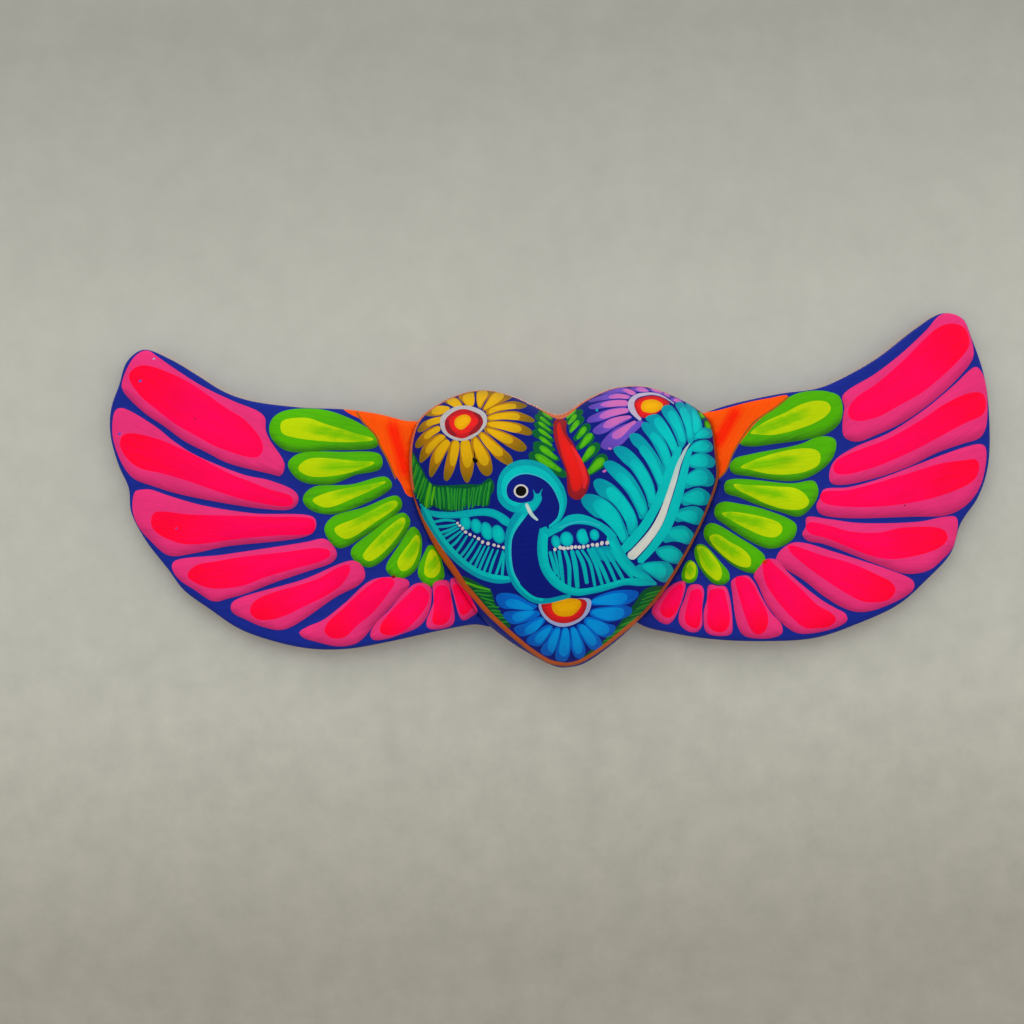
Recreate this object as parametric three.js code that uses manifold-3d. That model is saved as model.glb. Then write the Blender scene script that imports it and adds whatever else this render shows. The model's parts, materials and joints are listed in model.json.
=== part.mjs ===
// A painted clay heart with two wings, made to hang on a wall.
// Millimetres, +Z up, the front faces -Y, and the wall is the plane y = 0.
// The origin is the point of the wall where the nail carries the wire.

import * as THREE from 'three';
import { mergeVertices } from 'three/addons/utils/BufferGeometryUtils.js';
import Module from 'manifold-3d';

// Heart shell
const HEART_WIDTH = 119.5;
const HEART_HEIGHT = 108.6;
const HEART_DEPTH = 40;
const HEART_SIDE = 9;
const SHELL_WALL = 5;
const CLEFT_HEIGHT = 20;
const DOME_PEAK_DROP = 35;

// The share of the outline to each side over which the dome evens out its cleft
const CLEFT_SHARE = 0.125;

// Back plate, let into the shell
const BACK_RECESS = 8;
const PLATE_THICKNESS = 5;
const PLATE_LEDGE = 2;
const VENT_RADIUS = 3;
const VENT_OVER_TIP = 18;

// Wings, measured from the side of the heart
const LEFT_WING_LENGTH = 115.5;
const RIGHT_WING_LENGTH = 107.8;
const LEFT_WING_HEIGHT = 120;
const RIGHT_WING_HEIGHT = 124.8;
const WING_ROOT_THICKNESS = 10;
const WING_TIP_THICKNESS = 7;
const WING_EDGE_ROUND = 2.6;
const FEATHER_RISE = 1.6;
const FEATHER_SHOULDER = 1.2;
const FEATHER_ROOT = 2.6;
const FEATHER_INSET = 0.9;

// Coils of clay that fasten the wings behind
const COIL_RADIUS = 2.2;
const COIL_TOP = 11;
const COIL_BOTTOM = -52;

// Hanging lug and wire
const LUG_WIDTH = 11;
const LUG_HEIGHT = 9;
const LUG_DEPTH = 6.5;
const LUG_DROP = 20;
const LUG_ROUND = 0.8;
const LUG_CORNER = 2.7;
const TUNNEL_COVER = 1.6;
const WIRE_DIAMETER = 1.4;
const WIRE_SHOULDER = 3;
const WIRE_LEAN = 2.5;
const TWIST_TURNS = 2;
const TWIST_PITCH = 4.6;
const TWIST_CLEARANCE = 0.65;

// A leg of the wire below its twist, as shares of its widest reach and of the drop to the lug
const LEG_SHARES = [[0.28, 0.2], [0.66, 0.5], [0.94, 0.78]];

// The bend from a leg into the lug, as shares of the shoulder inwards and upwards
const BEND_SHARES = [[0, 0.7], [0.3, 0.2], [0.9, 0]];

// Clearance between pieces that touch, and how far a cutter passes through what it cuts
const FIT = 0.3;
const CUT_MARGIN = 1;

// How finely the curves are cut into straight edges
const HEART_POINTS = 72;
const HEART_RINGS = 8;
const CAVITY_RINGS = 6;
const WING_POINTS = 76;
const WING_EDGE_ARCS = 3;
const FEATHER_STEP = 5;
const FEATHER_POINTS_LEAST = 12;
const COIL_SIDES = 10;
const COIL_STEPS = 22;
const WIRE_SIDES = 8;
const LEG_STEPS = 22;
const TWIST_STEPS_PER_TURN = 12;
const LUG_CORNER_STEPS = 3;
const HOLE_SIDES = 20;

// Outlines as [x, z] points seen from the front, drawn for a heart 59.75 mm to each side
const DRAWN_HEART_SIDE = 59.75;

const HEART_OUTLINE = [
  [0, 20], [10, 25], [20, 29], [27, 29.8], [34, 29.3], [45, 25], [54, 19.3], [58.5, 14],
  [60, 3], [60.5, -7], [56, -19], [47, -36], [36, -52], [25, -63], [15, -71], [5, -77],
  [0, -78], [-5, -77.8], [-15, -72.5], [-25, -65.5], [-34, -57], [-45, -39], [-53, -24],
  [-58, -9], [-59, 4], [-57.5, 14], [-54, 21], [-45, 27], [-35, 30.3], [-27, 30.5],
  [-17, 27.5], [-10, 24],
];

const LEFT_WING_OUTLINE = [
  [-50, 18], [-60, 20.5], [-70, 23.5], [-83, 25.8], [-100, 27.3], [-120, 31], [-130, 35.2],
  [-140, 42], [-150, 48.5], [-159.5, 52.3], [-166, 48], [-169.5, 39], [-173, 30],
  [-173.7, 20], [-171, 8], [-167.5, -1], [-167, -10], [-162, -21], [-153.5, -33],
  [-148, -41], [-138, -49], [-127, -57], [-114, -62.3], [-100, -65.8], [-86, -66.5],
  [-70, -64.5], [-50, -61], [-36, -59.2], [-28, -60], [-24, -50], [-40, -15],
];

const RIGHT_WING_OUTLINE = [
  [50, 16], [57, 18.5], [65, 20.8], [85, 24.3], [100, 25.8], [110, 29.3], [125, 37],
  [140, 47.5], [150, 52.8], [157.5, 50.5], [161, 42], [165, 28], [166.3, 14], [165, -7],
  [160.5, -19], [153.5, -28.5], [149, -40], [139, -50], [128, -58.8], [112, -65.5],
  [95, -70.3], [75, -70.7], [55, -69], [40, -66], [28, -62.3], [22, -56], [40, -15],
];

const LEFT_FEATHERS = [
  [[-159.5, 52], [-145, 43], [-125, 32], [-117, 26.5], [-114, 19], [-109, 8.5],
    [-108.5, 1], [-125, 6], [-145, 15], [-163, 28.5], [-169, 38], [-165, 48.5]],
  [[-170, 30.3], [-160, 24], [-140, 11], [-120, 1.5], [-106, -3], [-103, -10],
    [-110, -13], [-130, -10], [-150, -4], [-165, 2], [-172.5, 14], [-173.5, 23]],
  [[-163, -1.8], [-150, -5.2], [-130, -11.5], [-100, -14.2], [-96.2, -18], [-99, -22.5],
    [-120, -26], [-150, -28], [-158, -24.5], [-165.5, -14], [-166.5, -5]],
  [[-150, -30], [-130, -28], [-96, -24], [-88.6, -30], [-100, -35.5], [-120, -42],
    [-136, -46.3], [-146, -42], [-152.5, -34]],
  [[-129, -46.5], [-110, -40.5], [-90, -33.5], [-81, -34.5], [-78.5, -40], [-90, -48],
    [-108, -58], [-125, -54.5], [-131, -49.5]],
  [[-104.5, -59], [-92, -54], [-78, -43], [-72, -40], [-61.5, -42], [-70, -50.5],
    [-78, -57.5], [-83, -65], [-95, -65.3], [-104, -61.5]],
  [[-76.5, -60.5], [-68, -51], [-60, -43], [-52.5, -43], [-53.5, -52], [-60, -60.5],
    [-73, -63.8]],
  [[-54.8, -59.5], [-51, -43.5], [-46.3, -43], [-45, -52], [-44.5, -60], [-50, -60.8]],
  [[-44.5, -41.2], [-42, -42.5], [-38, -48], [-34.8, -54.2], [-37, -57.2], [-41, -57.8],
    [-43.5, -51.5], [-45, -44.5]],
  [[-112.7, 19], [-107, 26], [-93, 26.3], [-80, 21.5], [-70.5, 14], [-73, 10.2],
    [-90, 10], [-108, 11]],
  [[-106, 5.5], [-102, 9.2], [-85, 9.3], [-70, 7.5], [-70, 2.2], [-80, 0], [-90, -3.2],
    [-102, -1]],
  [[-100.8, -8], [-97, -4], [-82, -3.5], [-68, -1.2], [-66, -5], [-80, -12.5],
    [-91, -14.8], [-99, -12]],
  [[-93, -20.5], [-90, -16], [-77, -12.5], [-64, -8.7], [-62.5, -13], [-77, -23.5],
    [-88, -28]],
  [[-83, -29], [-75, -22.5], [-62, -15.3], [-59.5, -19], [-68, -31], [-76, -36],
    [-82, -33]],
  [[-69.8, -37], [-64.5, -28], [-58.5, -20.8], [-55.5, -25], [-58, -37.5], [-65, -41]],
  [[-57.8, -38], [-55, -30], [-52, -29.5], [-48.5, -38], [-50, -43.5], [-55, -43.5]],
];

const RIGHT_FEATHERS = [
  [[110, 23], [120, 31], [135, 41], [148, 50.5], [154, 52.5], [159, 48], [161.5, 37],
    [155, 28], [140, 15], [120, 5.5], [110.5, 6], [109, 14]],
  [[105.5, -2], [115, 3.5], [135, 13], [150, 23.5], [162, 32], [166, 21], [164.5, 7],
    [157, 2.5], [140, -3.5], [120, -10], [105, -11.5], [103.5, -6]],
  [[100, -14], [115, -12.3], [135, -6.5], [155, 0.5], [162, 1.5], [165, -5], [159, -20],
    [150, -25.5], [125, -25.5], [102, -23.5], [98, -19]],
  [[93.5, -25], [110, -26.5], [130, -27.5], [150, -26], [152.5, -31], [145, -44],
    [132, -48], [115, -42], [97, -34.5], [91.5, -31]],
  [[81.5, -38], [88, -33.2], [105, -39], [125, -48], [134.5, -52.5], [127, -59.5],
    [112, -61], [98, -53], [84, -41.5]],
  [[72.5, -46], [78.5, -39], [84, -42], [98, -56], [108, -62], [105, -67.5], [90, -69],
    [82, -64], [75, -51]],
  [[63.5, -48.5], [68, -45], [73, -48], [80, -61.5], [82, -69], [70, -69.5], [65, -60]],
  [[53.5, -52], [57, -49], [62, -50.5], [63.7, -62], [61.5, -68.5], [54, -67.5]],
  [[45.5, -53], [50, -48.3], [53, -51], [51.5, -65], [45, -65.5], [43, -61]],
  [[44.1, -46.4], [46.3, -48.5], [45.3, -53], [41.9, -59.8], [38.5, -63.2], [33.5, -59.5],
    [33.6, -55.6], [38.9, -49.7]],
  [[69, 5.5], [74, 13], [87, 20.5], [98, 25], [108, 23], [111, 17], [101, 8], [85, 5.5]],
  [[64.7, -3], [70, 0.8], [88, 3], [102, 7.5], [106.5, 3], [102, -5], [90, -10],
    [70, -7.5]],
  [[62.5, -11], [67, -8], [85, -10.2], [97, -10.5], [99, -16], [90, -23.5], [72, -17]],
  [[58.8, -21.5], [62, -16.5], [85, -23], [90, -28], [80, -35.3], [65, -27]],
  [[54.7, -29.5], [57.5, -24.7], [70, -33], [77.3, -39], [71, -44.5], [60, -37]],
  [[50.5, -35.5], [53, -32.3], [60, -38.5], [63.3, -46], [58, -48.5], [52, -41.5]],
  [[46.3, -39.2], [48, -38.4], [50, -39.5], [51.1, -44], [50, -46.8], [47.5, -48],
    [44.9, -46.1], [44.3, -42.5]],
];

const wasm = await Module();
wasm.setup();

// Paint and metal finishes
function finish(color, roughness, metalness) {
  return new THREE.MeshStandardMaterial({ color, roughness, metalness });
}

const heartBlue = () => finish(0x0c1a6e, 0.45, 0);
const wingPink = () => finish(0xf0145c, 0.45, 0);
const bareClay = () => finish(0xa8643f, 0.9, 0);
const steel = () => finish(0x9a9a96, 0.35, 1);

// Solids and meshes
function solidOf(geometry) {
  geometry.deleteAttribute('normal');
  geometry.deleteAttribute('uv');
  const merged = mergeVertices(geometry, 1e-4);
  return new wasm.Manifold(new wasm.Mesh({
    numProp: 3,
    vertProperties: Float32Array.from(merged.attributes.position.array),
    triVerts: Uint32Array.from(merged.index.array),
  }));
}

function meshOf(name, solid, material) {
  const { vertProperties, triVerts } = solid.getMesh();
  const geometry = new THREE.BufferGeometry();
  geometry.setAttribute('position', new THREE.BufferAttribute(vertProperties, 3));
  geometry.setIndex(new THREE.BufferAttribute(triVerts, 1));
  geometry.computeVertexNormals();
  const mesh = new THREE.Mesh(geometry, material);
  mesh.name = name;
  return mesh;
}

// A closed smooth line through drawn points, cut into evenly spaced ones
function smoothOutline(points, count) {
  const corners = points.map(([x, z]) => new THREE.Vector3(x, z, 0));
  const curve = new THREE.CatmullRomCurve3(corners, true, 'centripetal');
  curve.arcLengthDivisions = 40 * points.length;
  return curve.getSpacedPoints(count).slice(0, count).map((p) => new THREE.Vector2(p.x, p.y));
}

function turnsLeft(outline) {
  return THREE.ShapeUtils.area(outline) > 0;
}

// An outline moved outwards by a distance, or inwards where it is negative
function grow(outline, distance) {
  const side = turnsLeft(outline) ? 1 : -1;
  return outline.map((point, i) => {
    const before = outline[(i + outline.length - 1) % outline.length];
    const after = outline[(i + 1) % outline.length];
    const along = after.clone().sub(before).normalize();
    return new THREE.Vector2(along.y, -along.x).multiplyScalar(side * distance).add(point);
  });
}

function perimeter(outline) {
  return outline.reduce((sum, point, i) => sum + point.distanceTo(outline.at(i - 1)), 0);
}

function extent(outline, axis) {
  const values = outline.map((point) => point[axis]);
  return { low: Math.min(...values), high: Math.max(...values) };
}

// A slab over an outline in the XZ plane, from y = back to y = front, with rounded edges
function slab(outline, back, front, round = 0, arcs = 1) {
  const geometry = new THREE.ExtrudeGeometry(new THREE.Shape(outline), {
    depth: back - front - 2 * round,
    bevelEnabled: round > 0,
    bevelThickness: round,
    bevelSize: round,
    bevelOffset: -round,
    bevelSegments: arcs,
  });
  geometry.rotateX(Math.PI / 2);
  geometry.translate(0, back - round, 0);
  return solidOf(geometry);
}

// A round bar along a curve, with flat ends
function bar(curve, radius, sides, steps) {
  const section = new THREE.Shape();
  for (let i = 0; i < sides; i++) {
    const angle = 2 * Math.PI * i / sides;
    const x = radius * Math.cos(angle);
    const y = radius * Math.sin(angle);
    if (i === 0) section.moveTo(x, y);
    else section.lineTo(x, y);
  }
  section.closePath();
  return solidOf(new THREE.ExtrudeGeometry(section, { extrudePath: curve, steps }));
}

// The outline of the heart, with its cleft at its own height over the nail
function heartOutline() {
  const drawn = smoothOutline(HEART_OUTLINE, HEART_POINTS);
  const width = extent(drawn, 'x');
  const height = extent(drawn, 'y');
  const stretchX = HEART_WIDTH / (width.high - width.low);
  const stretchZ = HEART_HEIGHT / (height.high - height.low);
  const drawnCleft = HEART_OUTLINE[0][1];
  return drawn.map((p) => new THREE.Vector2(
    p.x * stretchX,
    (p.y - drawnCleft) * stretchZ + CLEFT_HEIGHT,
  ));
}

const HEART = heartOutline();
const HEART_CENTRE = new THREE.Vector2(0, CLEFT_HEIGHT - DOME_PEAK_DROP);

// An outline drawn in towards the centre of the heart, losing its cleft on the way
function drawnIn(outline, share) {
  const radii = outline.map((point) => point.distanceTo(HEART_CENTRE));
  const reach = Math.round(outline.length * CLEFT_SHARE);
  return outline.map((point, i) => {
    let sum = 0;
    for (let k = -reach; k <= reach; k++) {
      sum += radii[(i + k + outline.length) % outline.length];
    }
    const even = sum / (2 * reach + 1) / radii[i];
    const stretch = share * THREE.MathUtils.lerp(even, 1, share);
    return point.clone().sub(HEART_CENTRE).multiplyScalar(stretch).add(HEART_CENTRE);
  });
}

// A closed dome over a stack of outlines, ending in its peak
function dome(stack, peak) {
  const count = stack[0].outline.length;
  const order = turnsLeft(stack[0].outline) ? 1 : -1;
  const positions = [];
  for (const { outline, y } of stack) {
    for (const point of outline) positions.push(point.x, y, point.y);
  }
  const foot = positions.length / 3;
  positions.push(HEART_CENTRE.x, stack[0].y, HEART_CENTRE.y);
  positions.push(HEART_CENTRE.x, peak, HEART_CENTRE.y);
  const faces = [];
  const addFace = (a, b, c) => (order > 0 ? faces.push(a, b, c) : faces.push(a, c, b));
  for (let i = 0; i < count; i++) {
    const next = (i + 1) % count;
    for (let ring = 0; ring + 1 < stack.length; ring++) {
      const low = ring * count;
      const high = low + count;
      addFace(low + i, low + next, high + i);
      addFace(low + next, high + next, high + i);
    }
    const last = (stack.length - 1) * count;
    addFace(last + i, last + next, foot + 1);
    addFace(next, i, foot);
  }
  const geometry = new THREE.BufferGeometry();
  geometry.setAttribute('position', new THREE.Float32BufferAttribute(positions, 3));
  geometry.setIndex(faces);
  return solidOf(geometry);
}

// Outlines from a straight wall up an elliptical crown
function crown(outline, wallFront, peak, rings) {
  const stack = [];
  for (let ring = 0; ring < rings; ring++) {
    const angle = Math.PI / 2 * ring / rings;
    stack.push({
      outline: drawnIn(outline, Math.cos(angle)),
      y: wallFront + (peak - wallFront) * Math.sin(angle),
    });
  }
  return stack;
}

const PLATE_BACK = -BACK_RECESS;
const PLATE_FRONT = PLATE_BACK - PLATE_THICKNESS;

function heartFrontShell() {
  const rimInside = grow(HEART, -SHELL_WALL);
  const ledgeInside = grow(HEART, -SHELL_WALL - PLATE_LEDGE);
  const ledge = PLATE_FRONT - FIT;
  const outer = dome(
    [{ outline: HEART, y: 0 }, ...crown(HEART, -HEART_SIDE, -HEART_DEPTH, HEART_RINGS)],
    -HEART_DEPTH,
  );
  const cavityPeak = -HEART_DEPTH + SHELL_WALL;
  const cavity = dome(
    [{ outline: ledgeInside, y: ledge + CUT_MARGIN },
      ...crown(ledgeInside, ledge, cavityPeak, CAVITY_RINGS)],
    cavityPeak,
  );
  const mouth = slab(rimInside, CUT_MARGIN, ledge);
  return meshOf('heart_front_shell', outer.subtract(cavity).subtract(mouth), heartBlue());
}

function heartBackPlate() {
  const plate = slab(grow(HEART, -SHELL_WALL - FIT), PLATE_BACK, PLATE_FRONT);
  const vent = new THREE.CylinderGeometry(
    VENT_RADIUS, VENT_RADIUS, PLATE_THICKNESS + 2 * CUT_MARGIN, HOLE_SIDES,
  );
  const tip = extent(HEART, 'y').low;
  vent.translate(0, (PLATE_BACK + PLATE_FRONT) / 2, tip + VENT_OVER_TIP);
  return meshOf('heart_back_plate', plate.subtract(solidOf(vent)), bareClay());
}

// Where a wing is cut off, grooved and fastened along the side of the heart
function seamCurve(side) {
  const offset = FIT + COIL_RADIUS;
  const points = grow(HEART, offset)
    .filter((p) => p.x * side > 0 && p.y < COIL_TOP && p.y > COIL_BOTTOM)
    .sort((a, b) => b.y - a.y)
    .map((p) => new THREE.Vector3(p.x, -COIL_RADIUS, p.y));
  return new THREE.CatmullRomCurve3(points, false, 'centripetal');
}

function groove(side) {
  const curve = seamCurve(side);
  const points = curve.getPoints(COIL_STEPS);
  const first = points[0].clone().sub(points[1]).normalize().multiplyScalar(FIT);
  const last = points.at(-1).clone().sub(points.at(-2)).normalize().multiplyScalar(FIT);
  points.unshift(points[0].clone().add(first));
  points.push(points.at(-1).clone().add(last));
  const deep = new THREE.CatmullRomCurve3(points, false, 'centripetal');
  const shallow = new THREE.CatmullRomCurve3(
    points.map((p) => new THREE.Vector3(p.x, 0, p.z)), false, 'centripetal',
  );
  const radius = COIL_RADIUS + FIT;
  return bar(deep, radius, COIL_SIDES, COIL_STEPS)
    .add(bar(shallow, radius, COIL_SIDES, COIL_STEPS));
}

// A feather stands on the wing as a low pillow, with a smaller shoulder where it is slim
function featherPillow(feather, fit, face) {
  const around = perimeter(feather.map(([x, z]) => new THREE.Vector2(x, z)));
  const count = Math.max(FEATHER_POINTS_LEAST, Math.round(around / FEATHER_STEP));
  const outline = fit(smoothOutline(feather, count));
  const halfWidth = Math.abs(THREE.ShapeUtils.area(outline)) / perimeter(outline);
  const shoulder = Math.min(FEATHER_SHOULDER, halfWidth / 2);
  return slab(outline, face + FEATHER_ROOT, face - FEATHER_RISE, shoulder);
}

function wing(side, name, drawnOutline, drawnFeathers, length, height) {
  const drawn = smoothOutline(drawnOutline, WING_POINTS);
  const width = extent(drawn, 'x');
  const rise = extent(drawn, 'y');
  const drawnReach = side > 0 ? width.high : -width.low;
  const stretchX = length / (drawnReach - DRAWN_HEART_SIDE);
  const stretchZ = height / (rise.high - rise.low);
  const fit = (outline) => outline.map((p) => new THREE.Vector2(
    side * HEART_WIDTH / 2 + (p.x - side * DRAWN_HEART_SIDE) * stretchX,
    p.y * stretchZ,
  ));
  const outline = fit(drawn);
  const face = -WING_ROOT_THICKNESS;
  let solid = slab(outline, 0, face, WING_EDGE_ROUND, WING_EDGE_ARCS);
  const inside = slab(grow(outline, -FEATHER_INSET), 0, face - FEATHER_RISE);
  for (const feather of drawnFeathers) {
    solid = solid.add(featherPillow(feather, fit, face).intersect(inside));
  }
  const tip = side * (HEART_WIDTH / 2 + length);
  const thinner = WING_TIP_THICKNESS / WING_ROOT_THICKNESS;
  solid = solid.warp((vertex) => {
    const reach = (vertex[0] - side * HEART_WIDTH / 2) / (tip - side * HEART_WIDTH / 2);
    vertex[1] *= THREE.MathUtils.lerp(1, thinner, THREE.MathUtils.clamp(reach, 0, 1));
  });
  const deepest = WING_ROOT_THICKNESS + FEATHER_RISE + CUT_MARGIN;
  const heartSpace = slab(grow(HEART, FIT), CUT_MARGIN, -deepest);
  return meshOf(name, solid.subtract(heartSpace).subtract(groove(side)), wingPink());
}

function lutingCoil(side, name) {
  return meshOf(name, bar(seamCurve(side), COIL_RADIUS, COIL_SIDES, COIL_STEPS), bareClay());
}

// The axis of the tunnel through the lug, on which the wire turns
const LUG_BACK = PLATE_BACK + LUG_DEPTH;
const TUNNEL_RADIUS = WIRE_DIAMETER / 2 + FIT;
const TUNNEL = new THREE.Vector3(0, LUG_BACK - TUNNEL_COVER - TUNNEL_RADIUS, -LUG_DROP);

function hangerLug() {
  const right = LUG_WIDTH / 2 - LUG_CORNER;
  const top = LUG_HEIGHT / 2 - LUG_CORNER;
  const shape = new THREE.Shape();
  shape.absarc(right, top, LUG_CORNER, 0, Math.PI / 2);
  shape.absarc(-right, top, LUG_CORNER, Math.PI / 2, Math.PI);
  shape.absarc(-right, -top, LUG_CORNER, Math.PI, 1.5 * Math.PI);
  shape.absarc(right, -top, LUG_CORNER, 1.5 * Math.PI, 2 * Math.PI);
  const drop = new THREE.Vector2(0, LUG_DROP);
  const outline = shape.getPoints(LUG_CORNER_STEPS).slice(0, -1).map((p) => p.sub(drop));
  const block = slab(outline, LUG_BACK, PLATE_BACK, LUG_ROUND);
  const tunnel = new THREE.CylinderGeometry(
    TUNNEL_RADIUS, TUNNEL_RADIUS, LUG_WIDTH + 2 * CUT_MARGIN, HOLE_SIDES,
  );
  tunnel.rotateZ(Math.PI / 2);
  tunnel.translate(TUNNEL.x, TUNNEL.y, TUNNEL.z);
  return meshOf('hanger_lug', block.subtract(solidOf(tunnel)), bareClay());
}

// One strand of the twist that closes the loop over the nail
function twistStrand(side) {
  const radius = (WIRE_DIAMETER + TWIST_CLEARANCE) / 2;
  const count = TWIST_TURNS * TWIST_STEPS_PER_TURN;
  const points = [];
  for (let i = 0; i <= count; i++) {
    const turn = i / TWIST_STEPS_PER_TURN;
    const angle = 2 * Math.PI * turn + (side > 0 ? 0 : Math.PI);
    points.push(new THREE.Vector3(
      radius * Math.cos(angle),
      radius * Math.sin(angle),
      WIRE_DIAMETER + turn * TWIST_PITCH,
    ));
  }
  return points;
}

function leastGap(strandA, strandB) {
  let least = Infinity;
  for (const a of strandA) {
    for (const b of strandB) least = Math.min(least, a.distanceTo(b));
  }
  return least - WIRE_DIAMETER;
}

function hangerWire() {
  const left = twistStrand(-1);
  const right = twistStrand(1);
  console.log('least gap in the twist of the wire, mm:', leastGap(left, right).toFixed(2));
  const mouth = LUG_WIDTH / 2 + FIT;
  const shoulder = mouth + WIRE_SHOULDER;
  const leg = (side) => [
    ...LEG_SHARES.map(([reach, fall]) => (
      new THREE.Vector3(side * shoulder * reach, 0, -LUG_DROP * fall)
    )),
    ...BEND_SHARES.map(([inwards, upwards]) => new THREE.Vector3(
      side * (shoulder - WIRE_SHOULDER * inwards), 0, WIRE_SHOULDER * upwards - LUG_DROP,
    )),
  ];
  const route = [
    ...left.reverse(), ...leg(-1), new THREE.Vector3(0, 0, -LUG_DROP),
    ...leg(1).reverse(), ...right,
  ];
  const curve = new THREE.CatmullRomCurve3(route, false, 'centripetal');
  const steps = 2 * (TWIST_TURNS * TWIST_STEPS_PER_TURN + LEG_STEPS);
  const wire = bar(curve, WIRE_DIAMETER / 2, WIRE_SIDES, steps);
  const lean = THREE.MathUtils.degToRad(WIRE_LEAN);
  const leant = wire.warp((vertex) => {
    const point = new THREE.Vector3(vertex[0], vertex[1], vertex[2] + LUG_DROP);
    point.applyAxisAngle(new THREE.Vector3(1, 0, 0), lean).add(TUNNEL);
    [vertex[0], vertex[1], vertex[2]] = point.toArray();
  });
  return meshOf('hanger_wire', leant, steel());
}

const group = new THREE.Group();
group.add(heartFrontShell());
group.add(heartBackPlate());
group.add(wing(
  -1, 'left_wing', LEFT_WING_OUTLINE, LEFT_FEATHERS, LEFT_WING_LENGTH, LEFT_WING_HEIGHT,
));
group.add(wing(
  1, 'right_wing', RIGHT_WING_OUTLINE, RIGHT_FEATHERS, RIGHT_WING_LENGTH, RIGHT_WING_HEIGHT,
));
group.add(lutingCoil(-1, 'left_wing_luting_coil'));
group.add(lutingCoil(1, 'right_wing_luting_coil'));
group.add(hangerLug());
group.add(hangerWire());

export default group;
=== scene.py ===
"""A painted clay heart with two feathered wings, hanging on a pale wall."""
import json
import math

import bpy
import numpy as np
from mathutils import Matrix, Vector, kdtree
from mathutils.geometry import delaunay_2d_cdt


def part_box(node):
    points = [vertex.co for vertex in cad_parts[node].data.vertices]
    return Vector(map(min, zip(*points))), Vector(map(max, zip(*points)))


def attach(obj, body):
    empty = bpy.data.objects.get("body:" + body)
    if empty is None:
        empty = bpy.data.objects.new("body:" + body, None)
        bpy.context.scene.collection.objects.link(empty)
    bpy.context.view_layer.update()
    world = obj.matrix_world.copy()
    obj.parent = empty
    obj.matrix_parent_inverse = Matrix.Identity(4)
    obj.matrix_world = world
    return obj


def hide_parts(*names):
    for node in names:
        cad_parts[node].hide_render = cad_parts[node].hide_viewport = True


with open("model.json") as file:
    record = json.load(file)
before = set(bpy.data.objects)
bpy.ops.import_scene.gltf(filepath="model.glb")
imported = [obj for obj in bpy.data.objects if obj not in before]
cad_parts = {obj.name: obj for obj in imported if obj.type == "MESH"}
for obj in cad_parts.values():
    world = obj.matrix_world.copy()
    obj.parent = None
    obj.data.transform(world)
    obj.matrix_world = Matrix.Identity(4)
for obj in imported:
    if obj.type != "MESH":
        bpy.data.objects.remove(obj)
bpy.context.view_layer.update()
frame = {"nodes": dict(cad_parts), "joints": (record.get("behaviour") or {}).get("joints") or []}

MM = 0.001

# Outlines as (x, z) in mm, seen from the front, as the solids have them
HEART_OUTLINE = [
    (0, 20), (10, 25), (20, 29), (27, 29.8), (34, 29.3), (45, 25), (54, 19.3), (58.5, 14),
    (60, 3), (60.5, -7), (56, -19), (47, -36), (36, -52), (25, -63), (15, -71), (5, -77),
    (0, -78), (-5, -77.8), (-15, -72.5), (-25, -65.5), (-34, -57), (-45, -39), (-53, -24),
    (-58, -9), (-59, 4), (-57.5, 14), (-54, 21), (-45, 27), (-35, 30.3), (-27, 30.5),
    (-17, 27.5), (-10, 24),
]

LEFT_WING_OUTLINE = [
    (-50, 18), (-60, 20.5), (-70, 23.5), (-83, 25.8), (-100, 27.3), (-120, 31),
    (-130, 35.2), (-140, 42), (-150, 48.5), (-159.5, 52.3), (-166, 48), (-169.5, 39),
    (-173, 30), (-173.7, 20), (-171, 8), (-167.5, -1), (-167, -10), (-162, -21),
    (-153.5, -33), (-148, -41), (-138, -49), (-127, -57), (-114, -62.3), (-100, -65.8),
    (-86, -66.5), (-70, -64.5), (-50, -61), (-36, -59.2), (-28, -60), (-24, -50),
    (-40, -15),
]

RIGHT_WING_OUTLINE = [
    (50, 16), (57, 18.5), (65, 20.8), (85, 24.3), (100, 25.8), (110, 29.3), (125, 37),
    (140, 47.5), (150, 52.8), (157.5, 50.5), (161, 42), (165, 28), (166.3, 14), (165, -7),
    (160.5, -19), (153.5, -28.5), (149, -40), (139, -50), (128, -58.8), (112, -65.5),
    (95, -70.3), (75, -70.7), (55, -69), (40, -66), (28, -62.3), (22, -56), (40, -15),
]

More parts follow.
